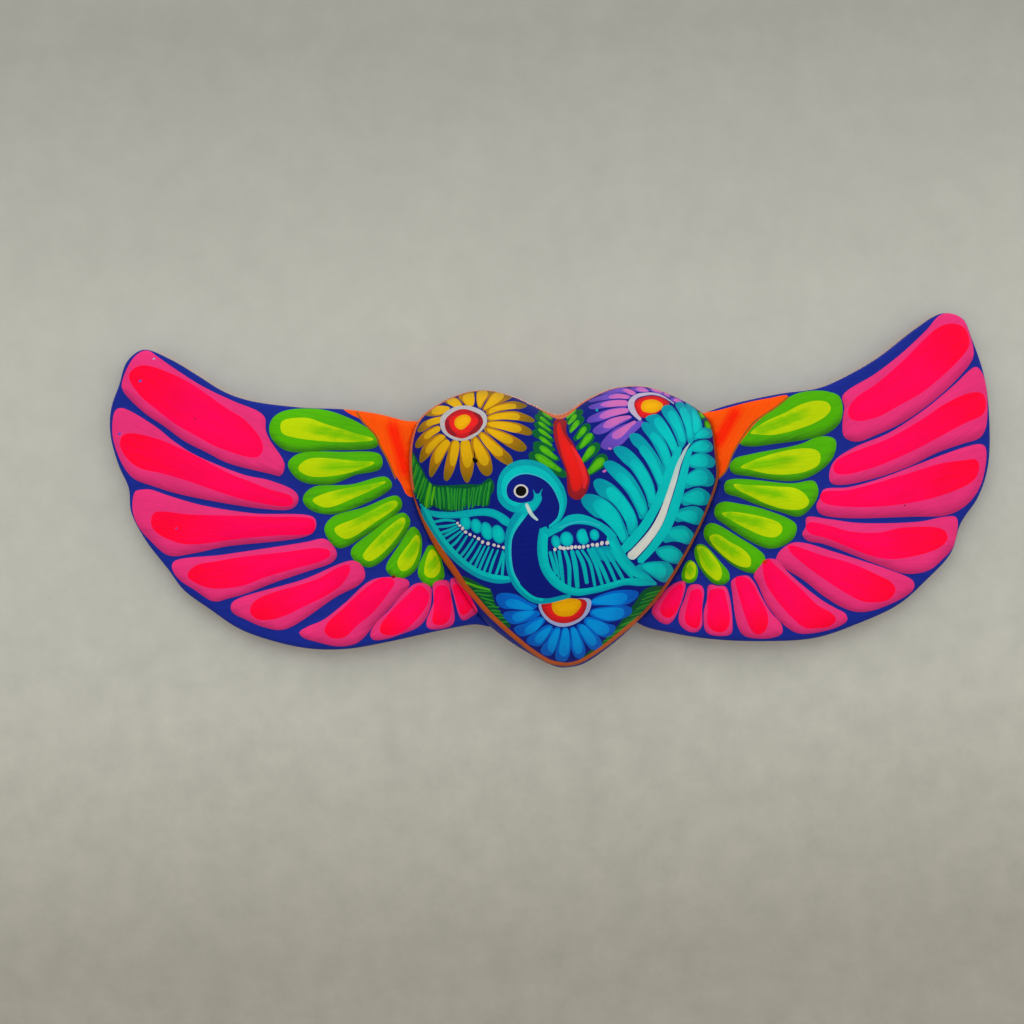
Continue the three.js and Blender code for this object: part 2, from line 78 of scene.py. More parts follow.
# Each feather has the outline of its pillow and of the bright core painted on it
LEFT_PINK = [
    ([(-159.5, 52), (-157.5, 51.5), (-155, 49.5), (-138.5, 37.5), (-126.5, 31), (-116, 26),
      (-114, 23.5), (-114, 19), (-112.5, 15), (-107.5, 6.5), (-107.5, 3.5), (-109, 1), (-113, 2),
      (-129.5, 7), (-137.5, 11.5), (-145.5, 16), (-153, 22), (-161, 28), (-168.5, 36.5),
      (-169, 39.5), (-165, 48), (-162, 51)],
     [(-161, 46), (-157, 45.5), (-144, 39.5), (-128.5, 28), (-121.5, 23), (-115.5, 14.5),
      (-115.5, 10.5), (-118, 8.5), (-132.5, 13), (-141, 18), (-149, 23), (-156, 29), (-161.5, 34),
      (-166, 42), (-164.5, 44.5)]),
    ([(-169.5, 30), (-157, 22.5), (-149.5, 16), (-141.5, 10.5), (-123, 2), (-113.5, -0.5),
      (-104, -5), (-102.5, -7.5), (-103, -10), (-105.5, -12), (-116, -11.5), (-148, -4.5),
      (-158, -1), (-166, 2.5), (-169.5, 7), (-172.5, 14.5), (-173.5, 21), (-172, 29)],
     [(-167, 20), (-157.5, 18), (-145.5, 12.5), (-128, 2.5), (-120, -1), (-113.5, -4),
      (-106, -6.5), (-104.5, -8), (-105, -10.5), (-122, -8), (-146, 1), (-155, 4), (-163.5, 6.5),
      (-168.5, 11), (-170.5, 15.5), (-169.5, 19)]),
    ([(-165.5, -2.5), (-163, -2), (-160, -2), (-152, -5), (-140, -9), (-120.5, -13), (-97, -15.5),
      (-96, -18.5), (-98, -22), (-132, -25.5), (-144, -27.5), (-153.5, -28), (-160.5, -22),
      (-165.5, -15.5), (-167, -9)],
     [(-159.5, -13), (-158, -11), (-143.5, -12.5), (-115.5, -14.5), (-97, -16.5), (-96.5, -19),
      (-97.5, -21.5), (-112, -22), (-123.5, -22.5), (-145.5, -24), (-151.5, -22.5), (-157, -19.5),
      (-159.5, -16.5)]),
    ([(-152, -30.5), (-132, -28.5), (-100, -25), (-93.5, -24), (-91, -25.5), (-88.5, -30),
      (-90, -33), (-100.5, -36.5), (-112.5, -40), (-124.5, -44), (-131, -45.5), (-137, -46.5),
      (-144.5, -41.5), (-150, -37.5), (-152.5, -33.5)],
     [(-146, -34.5), (-142.5, -32), (-135.5, -31), (-124, -29.5), (-108, -28.5), (-96, -27.5),
      (-91.5, -28.5), (-91, -30.5), (-94, -32.5), (-104.5, -35), (-116.5, -38), (-126, -41),
      (-139, -41), (-146.5, -36.5)]),
    ([(-130.5, -48.5), (-129, -46.5), (-102, -39.5), (-82.5, -33), (-79, -35), (-78, -39.5),
      (-80.5, -42.5), (-89, -46.5), (-110, -58.5), (-117.5, -57.5), (-125, -54), (-130, -51)],
     [(-123, -51), (-121.5, -47.5), (-117, -45), (-96.5, -39.5), (-88.5, -35.5), (-84, -34.5),
      (-83.5, -36.5), (-86.5, -41.5), (-93, -46), (-101, -49.5), (-109, -53), (-115.5, -54.5),
      (-120.5, -54)]),
    ([(-104.5, -60), (-101.5, -58), (-95, -55.5), (-86.5, -49.5), (-74.5, -40.5), (-61.5, -41.5),
      (-61, -43.5), (-65, -48), (-75, -58), (-80, -63.5), (-83.5, -65.5), (-90, -66), (-97.5, -64),
      (-103, -62)],
     [(-94.5, -60), (-93.5, -57), (-89, -53), (-72.5, -40.5), (-68, -40.5), (-66.5, -42),
      (-69, -46), (-75, -53), (-81.5, -58), (-87, -62.5), (-92, -62.5)]),
    ([(-77, -62), (-75, -58), (-69, -52.5), (-63.5, -46.5), (-58.5, -43), (-55, -43), (-52.5, -45),
      (-52.5, -47), (-53, -51.5), (-55, -56.5), (-58.5, -60), (-65.5, -62.5), (-71, -64),
      (-76, -64)],
     [(-73, -61), (-72.5, -58), (-60.5, -46), (-57, -43.5), (-53.5, -47), (-54.5, -51.5),
      (-61.5, -59.5), (-66, -62), (-70.5, -62.5)]),
    ([(-51.5, -43), (-46, -42.5), (-45, -48), (-44.5, -59), (-49, -61), (-54.5, -60.5), (-55, -58),
      (-52, -50.5)],
     [(-50.5, -44.5), (-46.5, -44.5), (-45, -52), (-46.5, -58), (-50, -59.5), (-52.5, -58.5),
      (-52, -53.5)]),
    ([(-45, -42), (-42.5, -41.5), (-36.5, -51), (-35, -55), (-37, -56.5), (-41, -58),
      (-44, -48.5)],
     [(-44, -44), (-42, -44), (-36.5, -51.5), (-38, -54.5), (-41, -56), (-43.5, -48.5)]),
]

LEFT_GREEN = [
    ([(-112.7, 19), (-111.5, 23), (-107, 26), (-93, 26.3), (-80, 21.5), (-71, 15), (-70.2, 12.5),
      (-71.5, 10.5), (-90, 10), (-106, 10.5), (-111.5, 15)],
     [(-108, 19), (-107.5, 22), (-98, 23), (-90, 20), (-80, 16.5), (-72, 13.5), (-85, 13),
      (-107, 17)]),
    ([(-106, 5.5), (-102, 9.2), (-85, 9.3), (-70, 7.5), (-70, 2.2), (-80, 0), (-90, -3.2),
      (-102, -1)],
     [(-102, 3.5), (-98, 7), (-80, 5.5), (-72, 4.5), (-85, 0.5), (-98, 0.5)]),
    ([(-100.8, -8), (-97, -4), (-82, -3.5), (-68, -1.2), (-66, -5), (-80, -12.5), (-91, -14.8),
      (-99, -12)],
     [(-97, -9), (-92, -6.5), (-77, -4), (-68, -3), (-80, -8.5), (-92, -12)]),
    ([(-93, -20.5), (-90, -16), (-77, -12.5), (-64, -8.7), (-62.5, -13), (-77, -23.5), (-88, -28)],
     [(-89, -20.5), (-80, -16.5), (-65, -10.5), (-64, -12), (-73, -18.5), (-85, -24.5)]),
    ([(-83, -29), (-75, -22.5), (-62, -15.3), (-59.5, -19), (-68, -31), (-76, -36), (-82, -33)],
     [(-78.5, -31.5), (-62, -17), (-61.5, -19.5), (-70, -30), (-76, -33.5)]),
    ([(-69.8, -37), (-64.5, -28), (-58.5, -20.8), (-55.5, -25), (-58, -37.5), (-65, -41)],
     [(-65.2, -34.5), (-60, -27), (-57.2, -24), (-56, -26.5), (-59.5, -36), (-63.5, -38)]),
    ([(-57.5, -39.5), (-57, -36), (-54.5, -31), (-53, -28.5), (-51, -28.5), (-49, -30.5),
      (-48, -34.5), (-47.5, -41.5), (-53, -44.5), (-56, -42.5)],
     [(-55, -39), (-52.5, -30.5), (-51, -30), (-48.5, -36.5), (-49.5, -39.5), (-51.5, -41),
      (-54, -40.5)]),
]

RIGHT_PINK = [
    ([(110, 22.5), (123, 30.5), (133, 37.5), (143.5, 46.5), (149, 52), (153.5, 53), (158, 50.5),
      (160.5, 45), (161.5, 36.5), (160, 33), (153, 25.5), (143, 17.5), (132.5, 11), (123, 7),
      (114.5, 4.5), (110, 6.5), (109.5, 12), (110.5, 18)],
     [(112, 17.5), (115, 21.5), (123, 26.5), (132.5, 34), (148.5, 47.5), (154, 48.5),
      (158.5, 46.5), (160, 41), (157.5, 36.5), (141.5, 23), (132, 18), (122.5, 13.5),
      (114.5, 12.5), (112, 14)]),
    ([(107.5, -1), (114, 2.5), (127.5, 7.5), (142.5, 16.5), (153, 24.5), (162, 31.5), (164, 30),
      (166, 25), (165, 8), (162.5, 4), (156, 2), (146, -1), (134.5, -6), (121, -10), (108, -12),
      (104, -11), (103.5, -7.5), (105, -3.5)],
     [(106.5, -2.5), (127.5, 5.5), (140, 12), (150, 18), (159.5, 21.5), (164, 21), (165.5, 17.5),
      (164, 13), (156, 9.5), (135, -0.5), (121.5, -5.5), (110, -8), (106, -7.5), (105, -5.5)]),
    ([(101, -13.5), (110.5, -13), (122, -10.5), (162.5, 1.5), (164.5, 0), (163, -12),
      (159.5, -18.5), (154.5, -23), (148, -25.5), (135.5, -25.5), (105.5, -24.5), (99, -22.5),
      (98, -19.5), (99.5, -16.5)],
     [(100.5, -14.5), (110.5, -14), (134.5, -8.5), (146, -5.5), (155.5, -4.5), (160.5, -4.5),
      (161.5, -7), (159.5, -12), (143.5, -18.5), (117, -21), (100.5, -18.5), (99.5, -16.5)]),
    ([(94, -24), (102.5, -25), (114, -27), (137.5, -27.5), (148, -26), (152, -26.5), (151, -37),
      (146, -42.5), (140.5, -46.5), (132, -47.5), (121, -43.5), (100, -34.5), (94, -33),
      (92, -30.5), (93.5, -27.5)],
     [(94.5, -26), (102.5, -27.5), (110, -30), (121.5, -31), (131, -29.5), (146.5, -31),
      (148, -34.5), (144.5, -38), (129, -41.5), (120, -40.5), (101.5, -32.5), (94.5, -30),
      (93.5, -28)]),
    ([(88.5, -33.5), (93.5, -34), (102, -37), (132.5, -49), (134.5, -51), (134, -54),
      (120.5, -60.5), (112.5, -61.5), (106.5, -59.5), (99, -54.5), (91.5, -48), (85.5, -44),
      (81.5, -41), (82, -38), (85, -35)],
     [(86.5, -34.5), (99.5, -39), (110.5, -42.5), (119.5, -47), (125.5, -50.5), (127, -53.5),
      (124.5, -57), (118, -58), (112, -56.5), (86.5, -36.5)]),
    ([(77.5, -39.5), (82, -40), (85.5, -44.5), (97.5, -55.5), (103.5, -59.5), (107.5, -62),
      (108, -64.5), (104, -67), (90.5, -69), (85.5, -67), (78, -58.5), (74, -49), (72.5, -45.5),
      (75, -42)],
     [(76.5, -40.5), (78.5, -39.5), (81, -42), (91.5, -52.5), (96.5, -58), (102, -61.5),
      (103.5, -64), (101, -66.5), (95.5, -67), (91, -66.5), (77, -49)]),
    ([(64, -47), (70, -45.5), (72.5, -48), (75, -53.5), (78.5, -60), (82.5, -65), (82.5, -68.5),
      (79, -70), (72, -70), (67.5, -68.5), (65.5, -65), (64, -52.5)],
     [(65.5, -46), (69, -46), (72, -49), (74.5, -54.5), (77, -60), (77, -64.5), (75.5, -67.5),
      (73, -68.5), (70.5, -66.5), (66.5, -54)]),
    ([(55, -48.5), (58.5, -49), (61.5, -49.5), (63.5, -64.5), (62.5, -68), (53.5, -67),
      (52.5, -59.5), (54, -54)],
     [(55.5, -50.5), (60.5, -50.5), (61.5, -54.5), (62.5, -62), (61, -66), (58, -67), (54, -64.5),
      (54, -57.5)]),
    ([(47, -49), (48.5, -48), (52, -48.5), (53, -50.5), (52, -57.5), (51.5, -64.5), (49.5, -66.5),
      (46, -66), (43, -63), (43, -59), (45.5, -53)],
     [(48, -50.5), (51.5, -50), (51, -62.5), (49.5, -65), (46, -63.5), (45, -61.5),
      (46.5, -54.5)]),
    ([(40.5, -48), (45.5, -46.5), (46, -48.5), (41, -61), (38.5, -63), (35.5, -62), (32.5, -58.5),
      (33, -56)],
     [(41, -49), (44.5, -47.5), (45, -49), (42, -58), (39, -60.5), (36.5, -59.5), (35.5, -57)]),
]

RIGHT_GREEN = [
    ([(69.5, 5.5), (72, 9), (76, 13.5), (83.5, 19), (90.5, 23.5), (97, 25), (104, 24.5), (109, 22),
      (109, 13), (103, 8), (83, 5), (72.5, 4.5)],
     [(73.5, 9.5), (79, 13.5), (87.5, 17), (94, 20), (100, 21), (104, 20), (105, 17.5), (103, 15),
      (97.5, 12), (82.5, 8.5), (76, 9)]),
    ([(65, -3), (67, 0), (73.5, 1.5), (92.5, 4.5), (99.5, 7), (104, 7), (106.5, 5.5), (106.5, 2),
      (103.5, -3.5), (92, -9.5), (72, -7), (66, -5.5)],
     [(69, -3.5), (83, 1.5), (97, 2.5), (100, 0.5), (99.5, -3.5), (95, -6), (87.5, -7), (80, -6.5),
      (72.5, -4.5)]),
    ([(63.5, -8.5), (89, -10.5), (97.5, -10), (99, -13), (98, -17.5), (91.5, -23.5), (84, -21.5),
      (75.5, -18.5), (68, -15), (63, -13)],
     [(66, -10), (73, -10.5), (82.5, -11.5), (90, -12.5), (94, -15.5), (95, -18.5), (92.5, -20.5),
      (86, -20.5), (78.5, -18), (72, -14.5), (67.5, -12)]),
    ([(58.5, -22), (59, -18), (62, -16.5), (68, -17.5), (77.5, -20), (89.5, -26), (90, -28.5),
      (88, -32.5), (79, -35.5), (61, -24.5)],
     [(61, -21), (65, -20.5), (83.5, -26), (84, -29), (81.5, -31), (77, -30.5), (63.5, -23)]),
    ([(54, -30), (54.5, -26), (57, -24.5), (67.5, -30.5), (77, -38), (77, -41.5), (74.5, -44.5),
      (71, -44.5), (65.5, -42), (61, -38)],
     [(56, -29.5), (59, -29), (63.5, -32), (69, -35.5), (71.5, -39), (71, -42), (68, -42),
      (63.5, -39.5), (56.5, -32)]),
    ([(51.5, -32.5), (54, -33), (60.5, -40.5), (63, -44), (63, -47), (61, -48.5), (58, -48.5),
      (55.5, -47), (50.5, -39), (50, -34.5)],
     [(51, -33.5), (53.5, -33.5), (59.5, -41), (60, -45), (58.5, -47), (53, -42), (51.5, -37)]),
    ([(48.5, -38.5), (51, -41.5), (50, -46.5), (48, -47.5), (45.5, -47), (44.5, -45),
      (46.5, -39.5)],
     [(48.5, -39), (50, -40), (49.5, -45), (47.5, -46), (46, -45.5), (47, -40)]),
]

# The orange shoulder of each wing, the redder streak in it and its brown edge
LEFT_SHOULDER = [
    (-83.9, 26.1), (-73.9, 24.9), (-64.7, 22.4), (-52, 19.5), (-50, 10), (-52, -6), (-58, -9.5),
    (-60.6, -8.3), (-62.4, -4.2), (-66.2, 2.1), (-70.2, 12), (-74.2, 17.9),
    (-76.7, 21.3), (-80.7, 23.6),
]

RIGHT_SHOULDER = [
    (52, 18), (60.1, 18.8), (73.7, 21.7), (81.5, 22.9), (88.9, 23.6), (83.7, 18.8), (76.1, 13.7),
    (70.8, 7.4), (66.3, 2.1), (63.7, -4.3), (61.3, -7.1), (56, -7.5), (52, 5),
]

LEFT_STREAK = ((-65, 18.5), (-60.5, 1))
RIGHT_STREAK = ((60.5, 6), (68.5, 18.5))
LEFT_BROWN = [(-78.5, 24.5), (-76.5, 21), (-74, 18), (-71.5, 15), (-70, 11), (-67.5, 6),
              (-64.5, -2)]
RIGHT_BROWN = [(89, 23), (83.5, 19), (75.5, 14), (71.5, 9.5), (66.5, 2), (63.5, -4.5),
               (60.5, -7.5)]

# Small drops of other paint on the wings: (x, z), radius and pigment
LEFT_SPOTS = [((-156, 48.5), 0.5, "ring_blue"), ((-161.5, 40), 0.7, "purple"),
              ((-141, 24.5), 0.4, "plume_rim"), ((-170.5, 20), 0.7, "purple"),
              ((-150, -17.5), 0.4, "purple"), ((-67, -40), 0.9, "plume_rim")]
RIGHT_SPOTS = [((77, -40.5), 1.1, "plume_red"), ((132, -21), 0.4, "plume_rim")]

# Pigments as sRGB values: the lighter and the deeper tone of each
HEART_BLUE = (11, 26, 122)
WING_BLUE = (25, 42, 142)
PIGMENTS = {
    "pink": ((229, 48, 117), (194, 42, 104)),
    "pink_core": ((255, 0, 86), (255, 0, 48)),
    "green": ((78, 173, 2), (56, 122, 24)),
    "lime": ((182, 208, 1), (118, 188, 0)),
    "orange": ((250, 84, 4), (255, 34, 0)),
    "bark": ((172, 92, 26), (116, 84, 24)),
    "rim": ((184, 82, 28), (142, 68, 28)),
    "rim_light": ((214, 104, 62), (176, 92, 60)),
    "rim_brown": ((160, 80, 40), (124, 62, 36)),
    "yellow": ((214, 163, 6), (190, 150, 8)),
    "ochre": ((176, 116, 6), (122, 95, 12)),
    "centre_red": ((226, 30, 30), (160, 24, 34)),
    "centre_yellow": ((229, 166, 2), (212, 144, 2)),
    "white": ((208, 203, 196), (176, 174, 172)),
    "ring": ((184, 179, 176), (150, 150, 160)),
    "ring_blue": ((156, 168, 206), (136, 152, 196)),
    "ring_lilac": ((182, 172, 188), (160, 146, 180)),
    "beak": ((210, 207, 198), (160, 194, 192)),
    "plume_red": ((222, 24, 20), (202, 28, 24)),
    "plume_rim": ((150, 27, 36), (130, 24, 34)),
    "plume_pink": ((229, 36, 40), (212, 34, 40)),
    "leaf": ((88, 178, 14), (56, 152, 16)),
    "leaf_dark": ((8, 96, 45), (6, 80, 46)),
    "leaf_dull": ((58, 152, 30), (30, 126, 34)),
    "lilac": ((196, 101, 168), (166, 90, 178)),
    "purple": ((106, 75, 184), (86, 60, 160)),
    "sky": ((0, 146, 221), (0, 126, 210)),
    "azure": ((0, 104, 205), (2, 86, 184)),
    "teal": ((0, 188, 184), (0, 168, 174)),
    "barb": ((0, 160, 168), (0, 138, 158)),
    "teal_mid": ((0, 174, 176), (0, 154, 168)),
    "teal_deep": ((0, 152, 168), (0, 130, 158)),
    "pale_line": ((60, 184, 200), (40, 170, 188)),
    "grass": ((42, 146, 40), (20, 122, 42)),
    "grass_deep": ((8, 108, 42), (0, 92, 40)),
    "grass_dark": ((4, 86, 43), (4, 70, 46)),
    "black": ((14, 14, 14), (6, 6, 6)),
    "blue": ((12, 26, 122), (8, 18, 90)),
}

# The sheet the painting was drawn on: small squares, x to the right and y down, a little turned
SQUARE = 0.3864
SHEET_MIDDLE = np.array([561.8, 466.0])
SHEET_TURN = math.radians(2.5)

# How finely strokes are drawn: in squares on the sheet, in mm on the wings and in degrees
# around the heart's edge
FINE = 2.2
FEATHER_STEP = 1.2
EDGE_STEP = 2.0

# Forms of single strokes: shares of their widths, squares, and the brown edge's width in mm
ROUND_END = 0.35
PETAL_PLACES = (0, 0.3, 0.72, 0.93)
PETAL_WIDTHS = (0.3, 0.72, 1.0, 0.62)
DARK_LEAF = 1.6
LIGHT_LEAF = 1.45
DAB_RIM = 1.2
BEAD_SIZE = 0.78
BEAD_TURN = 0.3
BEAD_SIDES = 12
DROP_FLATNESS = 0.7
DROP_TURN = 0.4
DROP_SIDES = 8
EDGE_REACH = 1.01
BROWN_WIDTH = 0.7

# How unevenly the hand paints: beads and the broadness of grass as factors, its ends in squares
HAND = np.random.default_rng(5)
BEAD_RANGE = (0.85, 1.15)
BLADE_RANGE = (0.75, 1.2)
BLADE_START = 0.7
BLADE_BEND = 0.6
BLADE_END = 1.4

# The two paints of a feather and how the second is spread
PINK_PAINT = ("pink", "pink_core", "heart")
GREEN_PAINT = ("green", "lime", "spine")


def off_sheet(points):
    """Places drawn on the sheet as (x, z) in mm."""
    right, down = ((np.array(points, float) - SHEET_MIDDLE) * SQUARE).T
    c, s = math.cos(SHEET_TURN), math.sin(SHEET_TURN)
    return np.column_stack([right * c - down * s, -right * s - down * c])


# Lines and outlines
SPAN_CUTS = 16
LEAST_COUNT = 6


def smooth(points, step, closed=True, count=None):
    """A centripetal Catmull-Rom line through points, cut about a step apart or in a count."""
    knots = np.array(points, float)
    if closed:
        ring = np.vstack([knots[-1], knots, knots[0], knots[1]])
    else:
        ring = np.vstack([2 * knots[0] - knots[1], knots, 2 * knots[-1] - knots[-2]])
    share = np.linspace(0, 1, SPAN_CUTS, endpoint=False)[:, None]
    parts = []
    for a, b, c, d in zip(ring, ring[1:], ring[2:], ring[3:]):
        ta = math.dist(a, b) ** 0.5
        tb = ta + math.dist(b, c) ** 0.5
        tc = tb + math.dist(c, d) ** 0.5
        t = ta + (tb - ta) * share
        ab = a + (b - a) * t / ta
        bc = b + (c - b) * (t - ta) / (tb - ta)
        cd = c + (d - c) * (t - tb) / (tc - tb)
        abc = ab + (bc - ab) * t / tb
        bcd = bc + (cd - bc) * (t - ta) / (tc - ta)
        parts.append(abc + (bcd - abc) * (t - ta) / (tb - ta))
    line = np.vstack(parts + [knots[:1] if closed else knots[-1:]])
    travel = np.concatenate([[0], np.cumsum(np.linalg.norm(np.diff(line, axis=0), axis=1))])
    count = count or max(LEAST_COUNT, round(travel[-1] / step))
    at = np.linspace(0, travel[-1], count + 1)
    even = np.column_stack([np.interp(at, travel, line[:, k]) for k in range(line.shape[1])])
    return even[:-1] if closed else even


def area(outline):
    """The area of an outline, below zero where it runs clockwise."""
    x, z = outline.T
    return 0.5 * float(np.sum(x * np.roll(z, -1) - np.roll(x, -1) * z))


def outward(outline):
    """Unit normals that point out of a closed outline."""
    along = np.roll(outline, -1, 0) - np.roll(outline, 1, 0)
    along /= np.linalg.norm(along, axis=1)[:, None] + 1e-9
    return np.column_stack([along[:, 1], -along[:, 0]]) * math.copysign(1, area(outline))


def grow(outline, distance):
    """An outline moved outwards, or inwards by a distance below zero."""
    return outline + outward(outline) * np.reshape(distance, (-1, 1))


def distance_to(points, outline):
    """How far points are from the edge of an outline."""
    best = np.full(len(points), np.inf)
    for a, b in zip(outline, np.roll(outline, -1, 0)):
        ab = b - a
        t = np.clip((points - a) @ ab / (ab @ ab + 1e-12), 0, 1)
        gap = points - a - t[:, None] * ab
        best = np.minimum(best, np.einsum("ij,ij->i", gap, gap))
    return np.sqrt(best)


def inside(points, outline):
    """Which points an outline winds around."""
    near = np.all((points > outline.min(0)) & (points < outline.max(0)), axis=1)
    x, z = points[near].T
    turns = np.zeros(len(x), int)
    for (ax, az), (bx, bz) in zip(outline, np.roll(outline, -1, 0)):
        if az != bz:
            crosses = (az > z) != (bz > z)
            to_the_left = x < (bx - ax) * (z - az) / (bz - az) + ax
            turns += np.where(crosses & to_the_left, 1 if bz > az else -1, 0)
    within = np.zeros(len(points), bool)
    within[near] = turns != 0
    return within


def normals_at(points, outline):
    """The outward normals of an outline at the places nearest to points."""
    gaps = np.linalg.norm(points[:, None] - outline[None], axis=2)
    return outward(outline)[np.argmin(gaps, axis=1)]


def ease(value, low, high):
    """Rises smoothly from 0 at the low value to 1 at the high one."""
    t = np.clip((value - low) / (high - low), 0, 1)
    return t * t * (3 - 2 * t)


# The sizes of the solids, in mm
def box_of(node):
    """The lowest and the highest corner of a solid."""
    low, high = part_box(node)
    return np.array(low) / MM, np.array(high) / MM


HEART_LOW, HEART_HIGH = box_of("heart_front_shell")
HEART_DEPTH = -HEART_LOW[1]
HEART_SIDE = 9.0
SHELL_WALL = 5.0
PLATE_LEDGE = 2.0
FIT = 0.3
PLATE_FRONT = box_of("heart_back_plate")[0][1]
LEDGE_DEPTH = -PLATE_FRONT + FIT
WING_ROOT_THICKNESS = 10.0
WING_TIP_THICKNESS = 7.0
WING_EDGE_ROUND = 2.6
FEATHER_RISE = 1.3
FEATHER_CROWN = 6.0
SEAM = 0.05
COIL_RADIUS = 2.2
HEART_CENTRE = np.array([0.0, -15.0])
HEART_STEP = 0.9


def fitted_heart():
    """The heart's outline, fitted into the box of its solid."""
    drawn = smooth(HEART_OUTLINE, HEART_STEP)
    low, high = drawn.min(0), drawn.max(0)
    box_low, box_high = HEART_LOW[[0, 2]], HEART_HIGH[[0, 2]]
    return (drawn - low) / (high - low) * (box_high - box_low) + box_low


HEART = fitted_heart()


# The dome of the heart, as rings that lose the cleft on the way in
EVENING_SHARE = 1 / 8
RING_ANGLES = np.linspace(-math.pi, math.pi, 300, endpoint=False)
LEAST_BEND = 1e-3
DOME_PASSES = 12


def polar(points):
    from_centre = points - HEART_CENTRE
    return np.arctan2(from_centre[:, 1], from_centre[:, 0]), np.linalg.norm(from_centre, axis=1)


def directions(angle):
    return np.column_stack([np.cos(angle), np.sin(angle)])


def wrapped(values, turn=0.0):
    """Values around the heart with three more at both ends, which belong a turn further."""
    return np.concatenate([values[-3:] - turn, values, values[:3] + turn])


def dome_radii():
    """The edge's radius by angle, and the same averaged over its neighbours."""
    angle, radius = polar(HEART)
    reach = round(len(HEART) * EVENING_SHARE)
    padded = np.concatenate([radius[-reach:], radius, radius[:reach]])
    even = np.convolve(padded, np.ones(2 * reach + 1) / (2 * reach + 1), "valid")
    order = np.argsort(angle)
    return wrapped(angle[order], 2 * math.pi), wrapped(radius[order]), wrapped(even[order])


DOME_ANGLES, DOME_EDGE, DOME_EVEN = dome_radii()


def radii_at(angle):
    """The edge's radius and the averaged one at angles."""
    return np.interp(angle, DOME_ANGLES, DOME_EDGE), np.interp(angle, DOME_ANGLES, DOME_EVEN)


def on_dome(angle, share):
    """Places at angles, at a share of the way from the dome's peak to its edge."""
    edge, even = radii_at(angle)
    radius = share * (even + (edge - even) * share)
    return HEART_CENTRE + directions(angle) * radius[:, None]


def dome_share(points):
    """0 at the peak of the dome and 1 at its edge."""
    angle, radius = polar(points)
    edge, even = radii_at(angle)
    bend = edge - even
    bend = np.where(np.abs(bend) < LEAST_BEND, LEAST_BEND, bend)
    root = np.sqrt(np.maximum(even * even + 4 * bend * radius, 0))
    return np.clip((root - even) / (2 * bend), 0, 1)


def dome_depth(points):
    """How far the dome stands out from the wall at points."""
    share = dome_share(points)
    return HEART_SIDE + (HEART_DEPTH - HEART_SIDE) * np.sqrt(np.maximum(1 - share ** 2, 0))


# The viewpoint of the photograph, from which the painting was read off
VIEWPOINT = np.array([-20.0, -560.0, -16.9])
WING_PLANE = -10.0
VIEW_ROLL = math.radians(-2.5)


def moved_to(depth, seen):
    """Points seen in the plane of the wings, moved along the line of sight to a depth."""
    nearer = (VIEWPOINT[1] + depth) / (VIEWPOINT[1] - WING_PLANE)
    eye = VIEWPOINT[[0, 2]]
    return eye + (seen - eye) * nearer[:, None]


def onto_dome(seen):
    """Points seen in the plane of the wings, moved along the line of sight onto the heart."""
    place = seen.copy()
    for _ in range(DOME_PASSES):
        depth = np.where(inside(place, HEART), dome_depth(place), HEART_SIDE)
        place = 0.5 * place + 0.5 * moved_to(depth, seen)
    return place


def wing_face(points, tip):
    """How deep the face of a wing lies, without its feathers."""
    root = HEART_HIGH[0] if tip > 0 else HEART_LOW[0]
    reach = np.clip((points[:, 0] - root) / (tip - root), 0, 1)
    return WING_ROOT_THICKNESS + (WING_TIP_THICKNESS - WING_ROOT_THICKNESS) * reach


# Strokes of paint
class Stroke:
    """A patch of paint: its outline, two tones, and how the deeper one is spread."""

    def __init__(self, outline, pigment, spread="even", axis=None, root=None):
        self.outline = np.array(outline, float)
        self.light, self.deep = (linear(c) for c in PIGMENTS[pigment])
        self.spread = spread
        if root is not None:
            away = np.linalg.norm(self.outline - root, axis=1)
            axis = (self.outline[np.argmin(away)], self.outline[np.argmax(away)])
        elif axis is None:
            middle = self.outline.mean(0)
            _, _, axes = np.linalg.svd(self.outline - middle)
            reach = (self.outline - middle) @ axes[0]
            axis = (middle + axes[0] * reach.min(), middle + axes[0] * reach.max())
        self.start, self.end = (np.array(p, float) for p in axis)

    def points(self):
        return np.vstack([self.outline, self.start, self.end])

    def place(self, move):
        """Moves the outline and the axis, all of their points at once."""
        moved = move(self.points())
        self.outline, self.start, self.end = moved[:-2], moved[-2], moved[-1]


def linear(colour):
    """An sRGB colour of 0 to 255 as linear values."""
    c = np.array(colour, float) / 255
    return np.where(c <= 0.04045, c / 12.92, ((c + 0.055) / 1.055) ** 2.4)


def rgba(colour):
    """An sRGB colour as the four linear values that a colour socket takes."""
    return (*linear(colour), 1)


def ribbon(points, widths, step=1.0):
    """The outline of a brush line along points, with its width at each of them."""
    knots = np.column_stack([np.array(points, float), np.broadcast_to(widths, len(points))])
    line = smooth(knots, step, closed=False)
    place, width = line[:, :2], line[:, 2:]
    along = np.gradient(place, axis=0)
    along /= np.linalg.norm(along, axis=1)[:, None]
    across = np.column_stack([-along[:, 1], along[:, 0]])
    left, right = place + across * width / 2, place - across * width / 2
    cap = ROUND_END * width
    first = place[:1] - along[:1] * cap[0]
    last = place[-1:] + along[-1:] * cap[-1]
    return np.vstack([first, left, last, right[::-1]])


def petal(root, tip, width, step):
    """A leaf that widens from its root to a round end at its tip."""
    root, tip = np.array(root, float), np.array(tip, float)
    along = tip - root
    across = np.array([-along[1], along[0]]) / np.linalg.norm(along)
    form = list(zip(PETAL_PLACES, PETAL_WIDTHS))
    left = [root + along * share + across * width * w / 2 for share, w in form]
    right = [root + along * share - across * width * w / 2 for share, w in form]
    return smooth(left + [tip] + right[::-1], step)


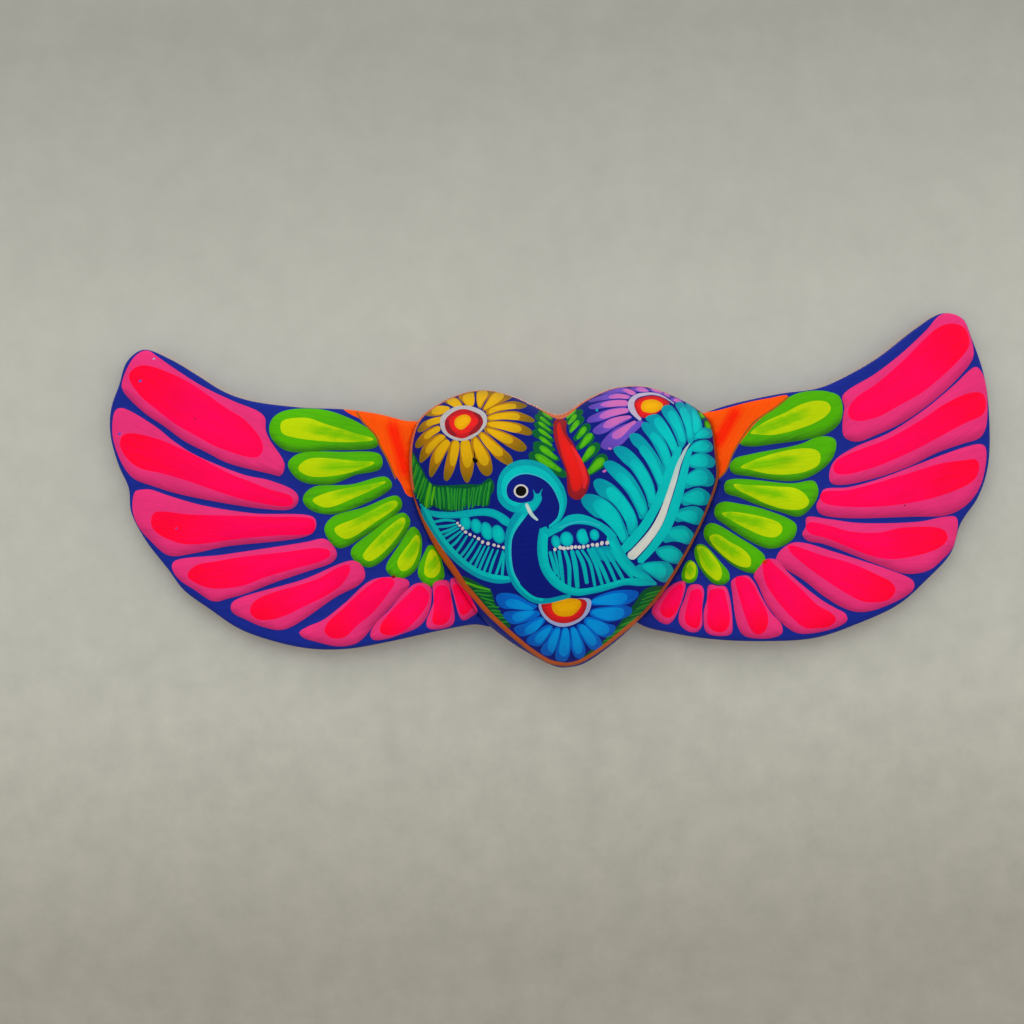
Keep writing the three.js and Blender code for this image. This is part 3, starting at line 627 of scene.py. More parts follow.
def ellipse(centre, radii, turn=0.0, count=22):
    """An ellipse around a centre, turned by an angle."""
    angle = np.linspace(0, 2 * math.pi, count, endpoint=False)
    x, z = radii[0] * np.cos(angle), radii[1] * np.sin(angle)
    c, s = math.cos(turn), math.sin(turn)
    return np.array(centre) + np.column_stack([x * c - z * s, x * s + z * c])


# Painting on the heart, as outlines in squares of the sheet: each petal's base and its core
YELLOW_PETALS = [
    ([(450, 408), (436, 406), (425, 415), (440, 415.5), (446, 412.5)],
     [(450, 407.5), (440, 405.5), (433, 408), (431.5, 413), (436, 414.5), (445, 412.5)]),
    ([(444, 401.5), (456, 397.5), (463, 406.5), (456, 407.5), (450, 405)],
     [(446.5, 401), (452, 398), (457, 399), (461.5, 405), (455, 407)]),
    ([(458, 396.5), (474, 391.5), (474, 398), (473.5, 405.5), (467, 406), (462, 401.5)],
     [(463, 396), (473, 393), (473.5, 405), (468, 405.5), (463, 400)]),
    ([(477, 391), (484, 390), (493, 390.5), (489, 396), (484, 403), (481, 408.5), (478, 407)],
     [(478, 392), (487, 391), (487.5, 395), (483, 402), (480.5, 407), (478, 405)]),
    ([(493, 392), (507, 392), (514, 395.5), (497, 405), (484, 411), (482.5, 409), (486, 402)],
     [(494, 393.5), (500, 392.5), (504, 394.5), (503, 398), (484, 409.5)]),
    ([(486, 411), (512, 401), (527.5, 405.5), (522, 408.5), (512, 409), (495, 412.5), (487, 415)],
     [(490, 409), (510, 403.5), (516, 404.5), (516, 408), (508, 409), (498, 410.5), (489, 413.5)]),
    ([(487, 416.5), (515, 411), (535, 420), (534, 422), (515, 420), (500, 419.5), (488, 420.5)],
     [(488, 417.5), (497, 413.5), (518, 413.5), (520, 417), (518, 419.5), (505, 419),
      (490, 419.5)]),
    ([(487, 422), (518, 423), (532, 431), (531, 435), (517, 433), (495, 428), (486, 426)],
     [(488, 423), (500, 421.5), (520, 426), (521.5, 430), (516, 432.5), (503, 429.5),
      (489, 425.5)]),
    ([(485, 427), (505, 432), (523, 442), (527, 448), (524, 451), (517, 451), (492, 436),
      (484, 430.5)],
     [(487, 428.5), (512.5, 438), (512.5, 442.5), (507, 443.5), (490, 433.5)]),
    ([(482, 431.5), (505, 450), (511, 456), (513, 462), (510.5, 465.5), (497, 459), (482, 441),
      (477.5, 434.5)],
     [(481, 433), (496, 444), (502.5, 450), (502.5, 455), (497, 456), (481, 439)]),
    ([(476, 436), (482, 443), (489, 453), (492.5, 470), (490, 475), (486, 476), (480, 471),
      (471, 438)],
     [(475, 437.5), (489, 459), (487, 465), (482, 465), (473.5, 446)]),
    ([(461, 441), (469, 440), (471, 445), (474, 455), (472, 475), (467, 483), (461, 473),
      (460, 450)],
     [(461.5, 441), (468.5, 440.5), (471, 449), (472.5, 460), (468, 468), (464, 465)]),
    ([(452, 440.5), (459, 441.5), (454, 470), (447, 481), (444, 479), (448, 451)],
     [(453.5, 441), (458.5, 441.5), (456, 462), (453, 466.5), (450, 463)]),
    ([(443, 437), (451, 444), (446, 453), (431, 477.5), (429, 474), (431, 457), (436, 447)],
     [(446, 439.5), (450, 442), (445, 452), (440, 461), (436, 464), (435, 452)]),
    ([(440, 433.5), (446, 437), (436, 447), (430, 455), (420, 463), (421, 450), (433, 436.5)],
     [(441, 434.5), (445, 437), (439, 443), (427, 454), (425.5, 451), (427, 446)]),
    ([(439, 425.5), (440.5, 430), (434, 435), (421, 447), (416, 448), (415, 444), (424, 432)],
     [(439, 426), (440, 430), (433, 435), (427, 439), (424, 438), (425, 434)]),
    ([(444, 416.5), (441, 422.5), (434, 425), (421, 432), (417, 431.5), (423, 422)],
     [(443, 417), (440, 422), (433, 424.5), (427, 426), (426, 423), (430, 419)]),
]

PURPLE_PETALS = [
    ([(643.5, 421), (642, 425), (628, 438), (622, 444), (608, 450), (600.5, 446), (613, 430),
      (628, 423)],
     [(635, 420.5), (636.5, 422), (632, 426), (620, 438), (615, 439), (612, 437), (612.5, 433.5),
      (624, 426)]),
    ([(630, 415.5), (632.5, 417), (618, 425.5), (603, 433.5), (596, 434), (592.5, 431), (598, 425),
      (613, 418)],
     [(630, 415.5), (631.5, 417), (624, 420.5), (609, 428), (603, 427), (608, 420)]),
    ([(628, 408), (629, 412), (622, 414), (595, 422), (587, 422), (588, 418), (611, 408.5)],
     [(628, 408.5), (628.5, 411.5), (612, 416), (604, 418.5), (599, 417), (606, 411)]),
    ([(627.5, 401), (627.5, 406), (620, 406.5), (610, 407), (592, 409), (588, 407), (607, 400.5)],
     [(627.5, 401), (627.5, 405), (618, 406), (608, 407), (600, 405), (608, 401)]),
    ([(631, 396), (628.5, 399), (620, 398.5), (600, 400.5), (592, 402), (588, 401.5), (610, 393)],
     [(630, 396.5), (627.5, 398.5), (619, 398), (611, 398.5), (608, 397), (617, 393.5)]),
    ([(637, 393.5), (632, 395), (625, 393), (615, 392.5), (600, 394), (607, 390), (625, 387.5)],
     [(636, 393), (632, 395), (626, 392), (622, 390), (627, 388.5)]),
    ([(650, 391), (640, 392), (630, 388.5), (632, 387), (642, 386.5)],
     [(649, 391), (642, 391.5), (635, 389), (640, 387)]),
    ([(664, 394), (655, 392.5), (649, 389), (650, 387.5), (658, 388.5)],
     [(663, 393), (657, 392), (651, 389.5), (656, 388.5)]),
    ([(671, 398), (666, 396), (661, 393), (666, 392), (671, 394.5)],
     [(670, 397), (666, 395.5), (663, 393), (667, 393)]),
    ([(684, 403), (677, 403), (671, 400), (671, 397.5), (682, 399.5)],
     [(682, 401.5), (677, 402), (673, 400), (676, 398)]),
]

BLUE_PETALS = [
    ([(537, 606), (530, 603), (515, 594.5), (499, 594), (496, 598), (501, 607), (516, 609),
      (533, 609.5)],
     [(533, 609), (518, 601), (510, 600), (506, 602), (508, 606)]),
    ([(540, 614), (537, 611), (520, 611), (504, 613), (504, 617), (513, 624)],
     [(534, 612), (518, 613), (513, 616), (514, 620), (519, 621)]),
    ([(545, 620), (540, 617), (524, 624), (517, 626), (514, 629), (521, 636), (534, 632)],
     [(543, 619), (526, 629), (526, 633), (531, 633), (537, 629)]),
    ([(550, 625), (545, 626), (538, 631), (527, 639), (528, 643), (539, 646), (549, 635),
      (553, 628)],
     [(551, 627), (540, 633), (536, 638), (536, 642), (541, 642)]),
    ([(560, 628), (555, 628), (547, 641), (542, 647), (541, 652), (545, 655), (551, 655),
      (555, 650)],
     [(559, 629), (556, 630), (549, 643), (549, 649), (552, 652)]),
    ([(567, 628), (563, 628), (561, 635), (556, 659), (565, 661), (569, 656), (570, 637)],
     [(567, 629), (564, 630), (562, 638), (560, 653), (564, 656), (568, 652)]),
    ([(574, 627), (570.5, 628), (571, 636), (571, 645), (573, 653), (577, 658), (582, 658),
      (585, 653), (584, 645)],
     [(574, 628), (572, 630), (573, 640), (574, 648), (577, 653), (580, 653), (582, 648)]),
    ([(580, 624), (577, 626), (590, 648), (595, 650), (600, 648), (602, 643), (591, 629)],
     [(582, 625), (580, 628), (592, 645), (596, 643), (595, 638)]),
    ([(588, 617), (584, 621), (590, 629), (604, 637), (611, 635), (615, 630), (615, 626),
      (608, 624)],
     [(588, 620), (587, 623), (593, 629), (599, 634), (605, 634), (609, 630), (606, 625)]),
    ([(592, 610), (590, 614), (605, 621), (613, 621), (628, 616), (632, 612), (631, 608),
      (625, 606)],
     [(592, 612), (605, 619), (620, 618), (624, 613), (622, 609)]),
    ([(592, 600), (591, 604), (607, 605), (627, 604), (638, 596), (638, 592), (615, 591)],
     [(592, 602), (619, 604), (625, 601), (627, 597), (624, 594), (606, 596)]),
]

LEFT_BARBS = [
    ([(582, 498), (587, 494.5), (602, 498), (617, 511), (626, 530), (628, 538), (623, 543),
      (618, 535), (603, 519), (595, 516), (583, 504)],
     [(594, 504), (601, 500), (615, 511), (623, 530), (625, 538), (622, 540), (617, 532),
      (610, 524), (602, 517)]),
    ([(594, 482), (599, 479), (614, 486), (634, 512), (637, 527), (630, 535), (626, 521),
      (614, 504), (606, 498), (599, 494)],
     [(607, 491), (609, 488), (614, 489), (627, 503), (635, 520), (631, 531), (628, 524),
      (618, 506), (611, 499)]),
    ([(604, 464), (608, 461), (614, 462), (630, 474), (643, 495), (647, 512), (641, 519),
      (638, 512), (628, 493)],
     [(617, 477), (619, 474), (624, 475), (636, 490), (641, 500), (645, 508), (643, 514),
      (630, 491)]),
    ([(614, 449), (619, 446.5), (626, 448), (641, 462), (653, 484), (655, 501), (650, 508),
      (648, 500), (644, 489), (631, 468), (623, 461)],
     [(631, 463), (633, 460), (637, 461), (649, 478), (654, 498), (651, 503), (648, 494),
      (637, 473)]),
    ([(630, 435), (635, 433.5), (641, 436), (661, 463), (665, 482), (660, 492), (657, 482),
      (640, 450), (633, 443)],
     [(640, 449), (643, 446), (654, 459), (662, 478), (661, 485), (652, 467)]),
    ([(642, 426), (644, 422.5), (650, 424), (664, 440), (671, 462), (666, 474), (663, 463),
      (652, 441)],
     [(651, 436), (653, 433), (664, 444), (670, 462), (668, 467), (659, 447)]),
    ([(646, 418), (656, 414.5), (662, 418), (679, 453), (675, 458), (671, 449), (666, 440),
      (652, 424)],
     [(655, 421), (658, 418), (669, 430), (676, 449), (673, 450), (668, 441)]),
    ([(662, 409), (666, 405.5), (671, 406), (681, 420), (684, 430), (686, 440), (681, 448),
      (677, 438), (672, 427)],
     [(669, 413), (671, 411), (675, 414), (684, 442), (681, 440), (677, 430), (671, 420)]),
    ([(676, 404), (680, 402), (690, 412), (696, 432), (690, 444), (685, 425), (681, 414)],
     [(681, 409), (684, 408), (692, 423), (693, 433), (690, 438), (687, 427)]),
    ([(686, 403), (691, 403), (702, 428), (695, 440), (690, 411)],
     [(693, 410), (699, 422), (698, 431), (695, 432), (694, 421)]),
]

RIGHT_BARBS = [
    ([(693, 438), (703, 428), (710, 429), (713, 433), (711, 437), (704, 438)],
     [(696, 437), (699, 432), (704, 430), (709, 433), (704, 436)]),
    ([(690, 449), (694, 443), (706, 440), (711, 443), (713, 448), (711, 451), (697, 452)],
     [(692, 449), (697, 443), (704, 442), (709, 446), (706, 450)]),
    ([(687, 464), (690, 457), (703, 453), (714, 459), (715, 464), (712, 467), (704, 467),
      (696, 468)],
     [(689, 462), (694, 456), (702, 455), (707, 458), (707, 464), (700, 466)]),
    ([(684, 479), (700, 467.5), (706, 468), (714, 478), (713, 484), (709, 486), (702, 485.5),
      (694, 486), (685, 488)],
     [(685, 480), (697, 471), (703, 471), (707, 476), (706, 482), (691, 484)]),
    ([(680, 497), (686, 493), (699, 488), (710, 495), (710, 501), (707, 504), (700, 505),
      (692, 504), (684, 505)],
     [(683, 499), (696, 491.5), (702, 493), (704, 498), (701, 503)]),
    ([(675, 513), (695, 506.5), (704, 513), (699, 524), (684, 521), (676, 521)],
     [(676, 515), (690, 511), (696, 514), (697, 519), (694, 522)]),
    ([(667, 531), (680, 526), (686, 527), (694, 536), (688, 544), (681, 542), (673, 541),
      (664, 542)],
     [(669, 532), (683, 530), (688, 534), (689, 539), (685, 542), (677, 540)]),
    ([(656, 550), (671, 546), (681, 552), (683, 558), (680, 563), (664, 560)],
     [(659, 551), (673, 549.5), (678, 554), (678, 559.5), (671, 560.5), (663, 557)]),
    ([(636, 567), (651, 562), (668, 563), (672, 567), (673, 573), (665, 582), (645, 571)],
     [(643, 566), (660, 564), (665, 569), (665, 574), (661, 578), (655, 575)]),
]


def two_tones(shapes, root, outer, inner, base_growth=0.0, core_growth=0.0):
    """Petals or barbs that grow from a root, each with a core in another pigment."""
    strokes = []
    for base, core in shapes:
        base, core = grow(smooth(base, FINE), base_growth), grow(smooth(core, FINE), core_growth)
        strokes.append(Stroke(base, outer, "tip", root=root))
        strokes.append(Stroke(core, inner, "heart", root=root))
    return strokes


def disc(outline, pigment, spread="edge"):
    """A patch inside an outline on the sheet."""
    return Stroke(smooth(outline, FINE), pigment, spread)


def line(points, widths, pigment, spread="edge"):
    """A brush line along points on the sheet."""
    return Stroke(ribbon(points, widths, FINE), pigment, spread)


def yellow_daisy():
    return two_tones(YELLOW_PETALS, (462, 423), "ochre", "yellow") + [
        disc([(469, 405.7), (485, 413), (487, 421), (484, 428), (470, 439), (455, 440),
              (441.5, 430), (441, 417), (453, 407.5)], "ring", "even"),
        disc([(465, 409), (480, 415), (483, 420), (482, 425.5), (466, 437.5), (459, 438),
              (447, 432), (445, 420.5), (455, 411)], "centre_red"),
        line([(447.5, 420), (447.5, 426), (451, 432), (456, 435.5)], [2.5, 4, 4.5, 2.5],
             "plume_rim"),
        line([(474, 412.5), (479.5, 417), (480.5, 422.5), (476.5, 429), (470, 434)],
             [2, 4, 4.5, 5, 3], "plume_rim"),
        disc([(460, 415.5), (466, 414.5), (470.5, 417.5), (470.5, 421.5), (462, 429.5),
              (457.5, 428.5), (454.5, 424.5), (455, 419.5)], "centre_yellow"),
    ]


def purple_daisy():
    return two_tones(PURPLE_PETALS, (652, 406), "purple", "lilac") + [
        line([(640.5, 419.5), (636, 414.5), (632, 409), (631, 404), (633, 399), (638, 395.5),
              (645, 394), (652, 393.5), (660, 395), (667, 398.5), (674, 403.5)],
             [3, 4.8, 6.2, 6.4, 5.2, 3.8, 3, 2.4, 2, 1.4, 1], "ring_lilac", "even"),
        disc([(640, 416.5), (634.5, 402.5), (644, 396.5), (660, 396.5), (670, 403.5), (664, 408),
              (650, 417)], "centre_red"),
        disc([(641, 407), (643, 401.5), (655, 399.5), (663.5, 405.5), (655, 412.5), (643, 411)],
             "centre_yellow"),
    ]


def blue_daisy():
    return two_tones(BLUE_PETALS, (566, 606), "azure", "sky", 0.3, 0.7) + [
        disc([(539, 603.5), (539.5, 610), (547.6, 621.2), (561.1, 626.8), (577, 623),
              (589.2, 611.5), (590.5, 599.6), (566, 599.8), (547, 601.5)], "ring_blue", "even"),
        disc([(541.8, 603), (543, 611), (553, 621), (568, 623), (582, 616), (587, 603),
              (584, 599.5), (566, 599.8)], "centre_red"),
        disc([(552, 603), (556, 600), (577, 599), (581, 602), (581, 606), (572, 615.5),
              (558, 615.5), (553, 611)], "centre_yellow"),
    ]


def ferns():
    """Leaves as (root, tip, width), first the dark ones and then the light ones on them."""
    dark = [
        ((553, 420), (538, 411), 4), ((553, 426), (535, 415), 5), ((553, 433), (534, 423), 5),
        ((553.5, 441), (532, 431), 5.5), ((555, 450), (533, 443), 5), ((559, 460), (533, 446), 6),
        ((566, 476), (529, 453), 9), ((566, 422), (583, 410), 5), ((569, 429), (584, 417), 5),
        ((574, 440), (590, 424), 6), ((577, 449), (593.5, 434), 6.5), ((582, 462), (599, 443), 7),
        ((588, 474), (606.5, 455), 8.5), ((694, 402), (697, 410), 6), ((698, 411), (706, 418), 6),
        ((705, 420), (711, 431), 5),
    ]
    light = [
        ((552, 419), (542, 411.5), 2.4), ((550.5, 425), (539.5, 416.5), 2.4),
        ((551, 431), (538, 421.5), 2.6), ((552, 438.5), (538, 428.5), 2.8),
        ((552.5, 446), (539, 436.5), 3), ((557, 459), (539.5, 446), 4.6),
        ((561, 471), (535, 454.5), 5.4), ((566.5, 418.5), (576, 408.5), 2.8),
        ((568, 424.5), (576.5, 414), 3.2), ((570, 432.5), (579, 420), 3.8),
        ((577, 439), (586, 426.5), 3.9), ((580, 448), (592, 433), 4.8),
        ((582.5, 461), (594.5, 446), 4.9), ((588.5, 473), (604, 458), 6.2),
        ((691, 403), (696, 409), 4), ((700, 411), (705, 417), 4.4), ((706, 421), (709.5, 429), 3.6),
    ]
    strokes = []
    for leaves, broadness, pigment, spread in ((dark, DARK_LEAF, "leaf_dark", "even"),
                                               (light, LIGHT_LEAF, "leaf", "edge")):
        for root, tip, width in leaves:
            outline = petal(root, tip, width * broadness, FINE)
            strokes.append(Stroke(outline, pigment, spread, (root, tip)))
    return strokes


def red_plume():
    return [
        disc([(555, 420), (563, 419), (567, 422), (566, 428), (568, 436), (572, 441), (582, 461),
              (587, 469), (590, 480), (584, 496), (577, 500), (569, 495), (566, 472), (557, 448),
              (553.5, 432)], "plume_rim"),
        disc([(559, 422), (563, 432), (580, 462), (583, 483), (577, 491.5), (573, 490),
              (570.5, 484), (569.5, 477), (561, 451), (557, 428)], "plume_red"),
        line([(571, 445), (576, 453), (580.5, 462), (583.5, 471), (585.5, 480), (584, 488)],
             [1.4, 3.4, 4.6, 5, 4.6, 2.6], "plume_pink"),
    ]


def band(outer, inner, pigment, low=0.0, high=1.0):
    """A band of paint between two lines, from one share of its width to another."""
    count = max(len(smooth(edge, FINE, False)) for edge in (outer, inner))
    a, b = (smooth(edge, FINE, False, count) for edge in (outer, inner))
    return Stroke(np.vstack([a + (b - a) * low, (a + (b - a) * high)[::-1]]), pigment, "even")


HEAD_OUTER = [
    (549, 528.5), (555, 525), (560, 521), (563, 516), (566, 508), (567, 500), (565, 490),
    (561, 482), (555, 474), (548, 467), (540, 462.5), (532, 460), (524, 459.5), (516, 461),
    (508, 465), (502, 471), (498, 480), (497, 490), (498, 499), (502, 505), (508, 510),
    (514, 512.5),
]
HEAD_INNER = [
    (549, 525.5), (553, 522), (557, 518), (559, 512), (559.5, 505), (557, 497), (553, 489),
    (548, 483), (541, 478), (533, 475), (525, 474), (518, 475.5), (512, 479), (508, 484),
    (506.5, 490), (508, 497), (511, 500), (516, 502), (521, 503), (527, 502), (532, 501),
]


def bird_head():
    return [
        band(HEAD_OUTER, HEAD_INNER, "barb"),
        band(HEAD_OUTER, HEAD_INNER, "teal", 0.4, 1.0),
        band(HEAD_OUTER, HEAD_INNER, "pale_line", 0.92, 1.0),
        disc([(514, 510), (520, 504), (532, 500.5), (534, 496), (533, 489), (535.5, 493),
              (538, 494), (543, 488), (541, 493.5), (542, 499), (534, 511), (529, 512), (526, 514),
              (518, 513)], "teal_mid"),
        line([(559.5, 528), (570.8, 523.2), (585.3, 521.6), (599.8, 525.6)], 0.8, "pale_line",
             "even"),
        Stroke(ellipse((521, 491), (7.3, 6.8)), "white"),
        Stroke(ellipse((521, 491), (5.5, 5.2)), "black"),
        line([(526.5, 504), (529.5, 511), (533, 516), (537.5, 520)], [3, 3.8, 3.4, 2], "beak"),
    ]


def bird_body():
    return [
        line([(524, 509), (518.8, 516), (514.5, 522), (510, 531), (508, 541), (507.7, 551),
              (508.3, 561), (510, 571), (513, 579), (517, 586), (522.5, 592), (528.5, 597),
              (535, 600.2), (542, 601.2), (549, 600.8), (556, 599.3), (563, 597.5), (570, 596)],
             [10.5, 10.5, 9.5, 7.5, 6.5, 6] + [5.8] * 8 + [5, 4.8, 4.5, 3.5], "teal_deep", "even"),
        line([(529, 508), (523.5, 516), (518, 523.5), (513, 532), (510.3, 541), (509.8, 551),
              (510.3, 561), (512, 570.5), (515, 578), (519, 585), (524, 590.5), (530, 595.5),
              (536, 598.6), (543, 599.8)], [4.5, 4.5, 4.2, 3.6, 3] + [2.8] * 9, "teal", "even"),
        line([(524, 517), (517, 526), (512.4, 536), (511, 548), (511.4, 560), (514, 573),
              (519.5, 583)], 0.8, "pale_line", "even"),
    ]


def drops(shapes, turn=0.0):
    """Round dabs as (centre, radii), each with a lighter middle."""
    strokes = []
    for centre, (across, down) in shapes:
        rim = (across + DAB_RIM, down + DAB_RIM)
        strokes.append(Stroke(ellipse(centre, rim, turn), "teal_deep"))
        strokes.append(Stroke(ellipse(centre, (across, down), turn), "teal", "edge"))
    return strokes


def beads(places):
    """White dots as (x, y, radius), a little uneven."""
    strokes = []
    for x, y, radius in places:
        radii = radius * BEAD_SIZE * HAND.uniform(*BEAD_RANGE, 2)
        strokes.append(Stroke(ellipse((x, y), radii, BEAD_TURN, BEAD_SIDES), "white"))
    return strokes


def left_bird_wing():
    barbs = [
        [(455, 521), (445, 520), (434, 522)], [(456, 524), (447, 526), (436, 527)],
        [(457, 526), (449, 530), (440, 533)], [(459, 528), (450, 533), (441, 538)],
        [(461, 531), (453, 537), (445, 543)], [(463, 533), (456, 542), (449, 548)],
        [(467, 536), (460, 547), (454, 555)], [(473, 539), (465, 551), (457, 560)],
        [(477, 541), (470, 552), (461, 564)], [(481, 545), (475, 556), (468, 566)],
        [(485, 546), (479, 558), (474, 569)], [(489, 547), (483, 560), (478, 572)],
        [(493, 549), (488, 561), (483, 574)], [(498, 550), (493, 562), (489, 575)],
        [(503, 551), (500, 563), (495, 577)], [(504, 553), (503, 565), (502, 578)],
    ]
    strokes = [line(barb, [1.8, 2.8, 2.6], "teal_mid", "even") for barb in barbs]
    strokes += drops([((465.5, 522.5), (4.2, 6.4)), ((476.2, 526), (4.4, 6.4)),
                      ((486.7, 531), (4.8, 8.2)), ((498.2, 534.2), (5.4, 8.4))], -0.3)
    strokes += [
        line([(420, 504), (427, 511), (435, 514), (445, 515), (455, 515), (465, 514), (475, 512.5),
              (485, 512), (492, 513), (499, 516), (505, 520.5), (510, 524)],
             [1.5, 4, 6, 6.5, 6.5, 7.5, 7, 7.5, 8, 8, 9, 7], "teal_mid"),
        line([(422, 508), (426, 516), (431, 526), (437, 535), (443, 544), (450, 552), (457, 559),
              (464, 565), (472, 570.5), (480, 575), (490, 578.5), (500, 580), (510, 580)],
             [3] + [7.2] * 11 + [5], "teal_deep", "even"),
        line([(424, 508), (428.5, 515.5), (433.5, 525), (439, 533.5), (445, 542), (451.7, 549.8),
              (458.5, 556.8), (465.3, 562.7), (473, 568), (481, 572.5), (491, 576), (501, 577.6),
              (510, 578)], [2] + [4.2] * 11 + [3], "teal", "even"),
    ]
    return strokes + beads([
        (457.5, 523, 1.9), (459.5, 525.5, 1.9), (462.5, 528.5, 2.2), (465.5, 532, 2.2),
        (470, 534.5, 2.3), (474.5, 536.5, 2), (478.5, 538.7, 2.2), (482.5, 542, 2.3),
        (488, 543.5, 2.4), (494, 545, 2.2), (498.5, 546.2, 1.9), (503.5, 547.5, 2.2)])


def right_bird_wing():
    barbs = [
        ([(550, 552), (553, 562), (556, 574)], 3), ([(559, 551), (561, 565), (563, 583)], 3.2),
        ([(565, 551), (569, 565), (569.5, 586)], 3.2), ([(572, 551), (575, 563), (577.5, 587)], 4),
        ([(577, 551), (583, 563), (587, 583)], 3.5), ([(582, 550), (590, 563), (595, 586)], 2.6),
        ([(588, 549), (596, 565), (602.5, 585)], 3), ([(592, 549), (603, 570), (608.5, 583)], 3.4),
        ([(600, 550), (609, 566), (616, 582)], 3), ([(607, 552), (617, 568), (624, 580.5)], 3),
        ([(611, 550), (622, 566), (633, 578.5)], 2.6), ([(554, 551), (557, 563), (559, 578)], 2),
    ]
    strokes = [disc([(590, 548), (600, 546.5), (612, 547), (618, 559), (612, 562), (595, 557)],
                    "teal_deep")]
    strokes += [line(barb, [width, width * 1.25, width * 1.1], "teal_mid", "even")
                for barb, width in barbs]
    strokes += drops([((556, 541.7), (3.4, 5.4)), ((566.7, 539), (5.4, 6.4)),
                      ((583, 536.7), (5.2, 7)), ((594.5, 534.9), (3.6, 4.6))], -0.25)
    strokes += [
        line([(571, 527), (574, 536), (577, 545)], [1.4, 2.5, 2], "blue", "even"),
        line([(585, 526), (588, 533), (590, 540)], [1.4, 2.5, 2], "blue", "even"),
        line([(545, 530), (543, 538), (542.5, 550), (543.5, 560), (546, 569), (550, 576),
              (556, 583), (563, 588), (571, 591.5), (580, 592.5), (590, 591), (600, 589),
              (612, 585.5), (625, 582), (640, 582), (650, 582), (656, 584)],
             [11, 10, 10.5, 10, 9.5, 9, 8.5, 8, 7, 6.5, 6, 6, 6, 6.5, 8, 7, 3], "teal_mid"),
        line([(546.5, 532), (545, 540), (544.5, 550), (545.5, 559), (548, 567.5), (552, 574.5),
              (558, 581), (564.5, 585.7), (572, 589), (580, 590.2), (590, 589.2), (600, 587),
              (612, 583.8), (625, 580.3), (638, 579.5)],
             [5, 5.5, 5.5, 5, 5, 5, 4.5, 4.2, 3.6, 3.2, 3, 3, 3, 3, 2], "teal", "even"),
        line([(611, 536.5), (616, 547), (621.5, 557.5), (628, 565.5), (635.5, 572), (645, 577),
              (653, 582)], [10, 10, 11, 10, 9, 8, 4], "teal_mid"),
        line([(609, 537.5), (614, 548), (619.5, 558.5), (626, 566.8), (633.5, 573.5), (643, 578)],
             [5, 5, 5.5, 5, 4.5, 3], "teal", "even"),
        band([(541, 529), (548, 529), (555, 525), (561, 521), (566, 516.5), (572, 514.5),
              (580, 514), (588, 516), (596, 519.5), (604, 524), (611, 529), (617, 536)],
             [(549, 537), (556, 533), (562, 530), (566, 527), (571, 525), (578, 524), (585, 524.5),
              (592, 526), (599, 529), (606, 535), (610, 542)], "teal_mid"),
    ]
    return strokes + beads([
        (555, 549.3, 2.3), (560.4, 547.6, 2.7), (564, 548.3, 2.4), (567.8, 548.2, 2.5),
        (571.6, 547.4, 2.5), (575.6, 547, 2.4), (579.4, 547.2, 2.4), (583.6, 546.8, 2.5),
        (588, 546, 2.4), (592.6, 544.8, 2.5), (597.2, 544.8, 2.4), (602, 543.2, 2.6),
        (607.2, 542.8, 2.6)])


def tail_feather():
    strokes = two_tones(LEFT_BARBS, (676, 470), "barb", "teal", 0.6, 1.0)
    strokes += two_tones(RIGHT_BARBS, (676, 490), "barb", "teal", 0.4, 0.6)
    return strokes + [
        line([(621, 552), (631.5, 542), (642, 531), (650.5, 519), (657.5, 506), (663, 493),
              (667.5, 480.5), (671.5, 468.5), (675.5, 458), (680, 448)],
             [7, 10, 11, 11.5, 11.5, 11.5, 11, 10, 8, 5], "teal", "even"),
        line([(640, 561), (649.5, 550), (659, 538), (667, 526), (672.5, 513), (676.5, 501),
              (680.5, 487), (683.5, 475), (686, 464), (689, 453), (693, 446)],
             [7, 9, 9.5, 9.5, 9.5, 9.5, 9, 8, 7, 5.5, 3], "teal", "even"),
        line([(633, 555), (641, 546.5), (649, 536.5), (656, 526), (662, 514), (666, 503)],
             [11.5, 11.3, 10.8, 10, 9, 6], "blue", "even"),
        Stroke(ellipse((632.3, 555.6), (6.2, 5.8)), "blue"),
        Stroke(ellipse((632.5, 555.2), (4.8, 4.5)), "beak"),
        line([(633, 555), (641, 546.6), (648, 538.5), (655, 529), (661, 518), (666, 505),
              (670, 493), (674.5, 479), (678, 467), (682, 457), (686, 449), (690, 443.5)],
             [9, 9, 8.5, 8, 7.5, 6.5, 6, 5.5, 4.5, 3.5, 2.5, 1], "beak", "tip"),
    ]


def hatch(starts, ends, count, width, pigments):
    """Brush strokes from one line to another, uneven as a hand makes them."""
    first = smooth(starts, 1.0, False, count - 1)
    last = smooth(ends, 1.0, False, count - 1)
    strokes = []
    for i, (a, b) in enumerate(zip(first, last)):
        a = a + HAND.uniform(-BLADE_START, BLADE_START, 2)
        b = b + HAND.uniform(-BLADE_END, BLADE_END, 2)
        middle = (a + b) / 2 + HAND.uniform(-BLADE_BEND, BLADE_BEND, 2)
        broad = width * HAND.uniform(*BLADE_RANGE)
        strokes.append(line([a, middle, b], [broad * 0.7, broad, broad * 0.6],
                            pigments[i % len(pigments)], "even"))
    return strokes


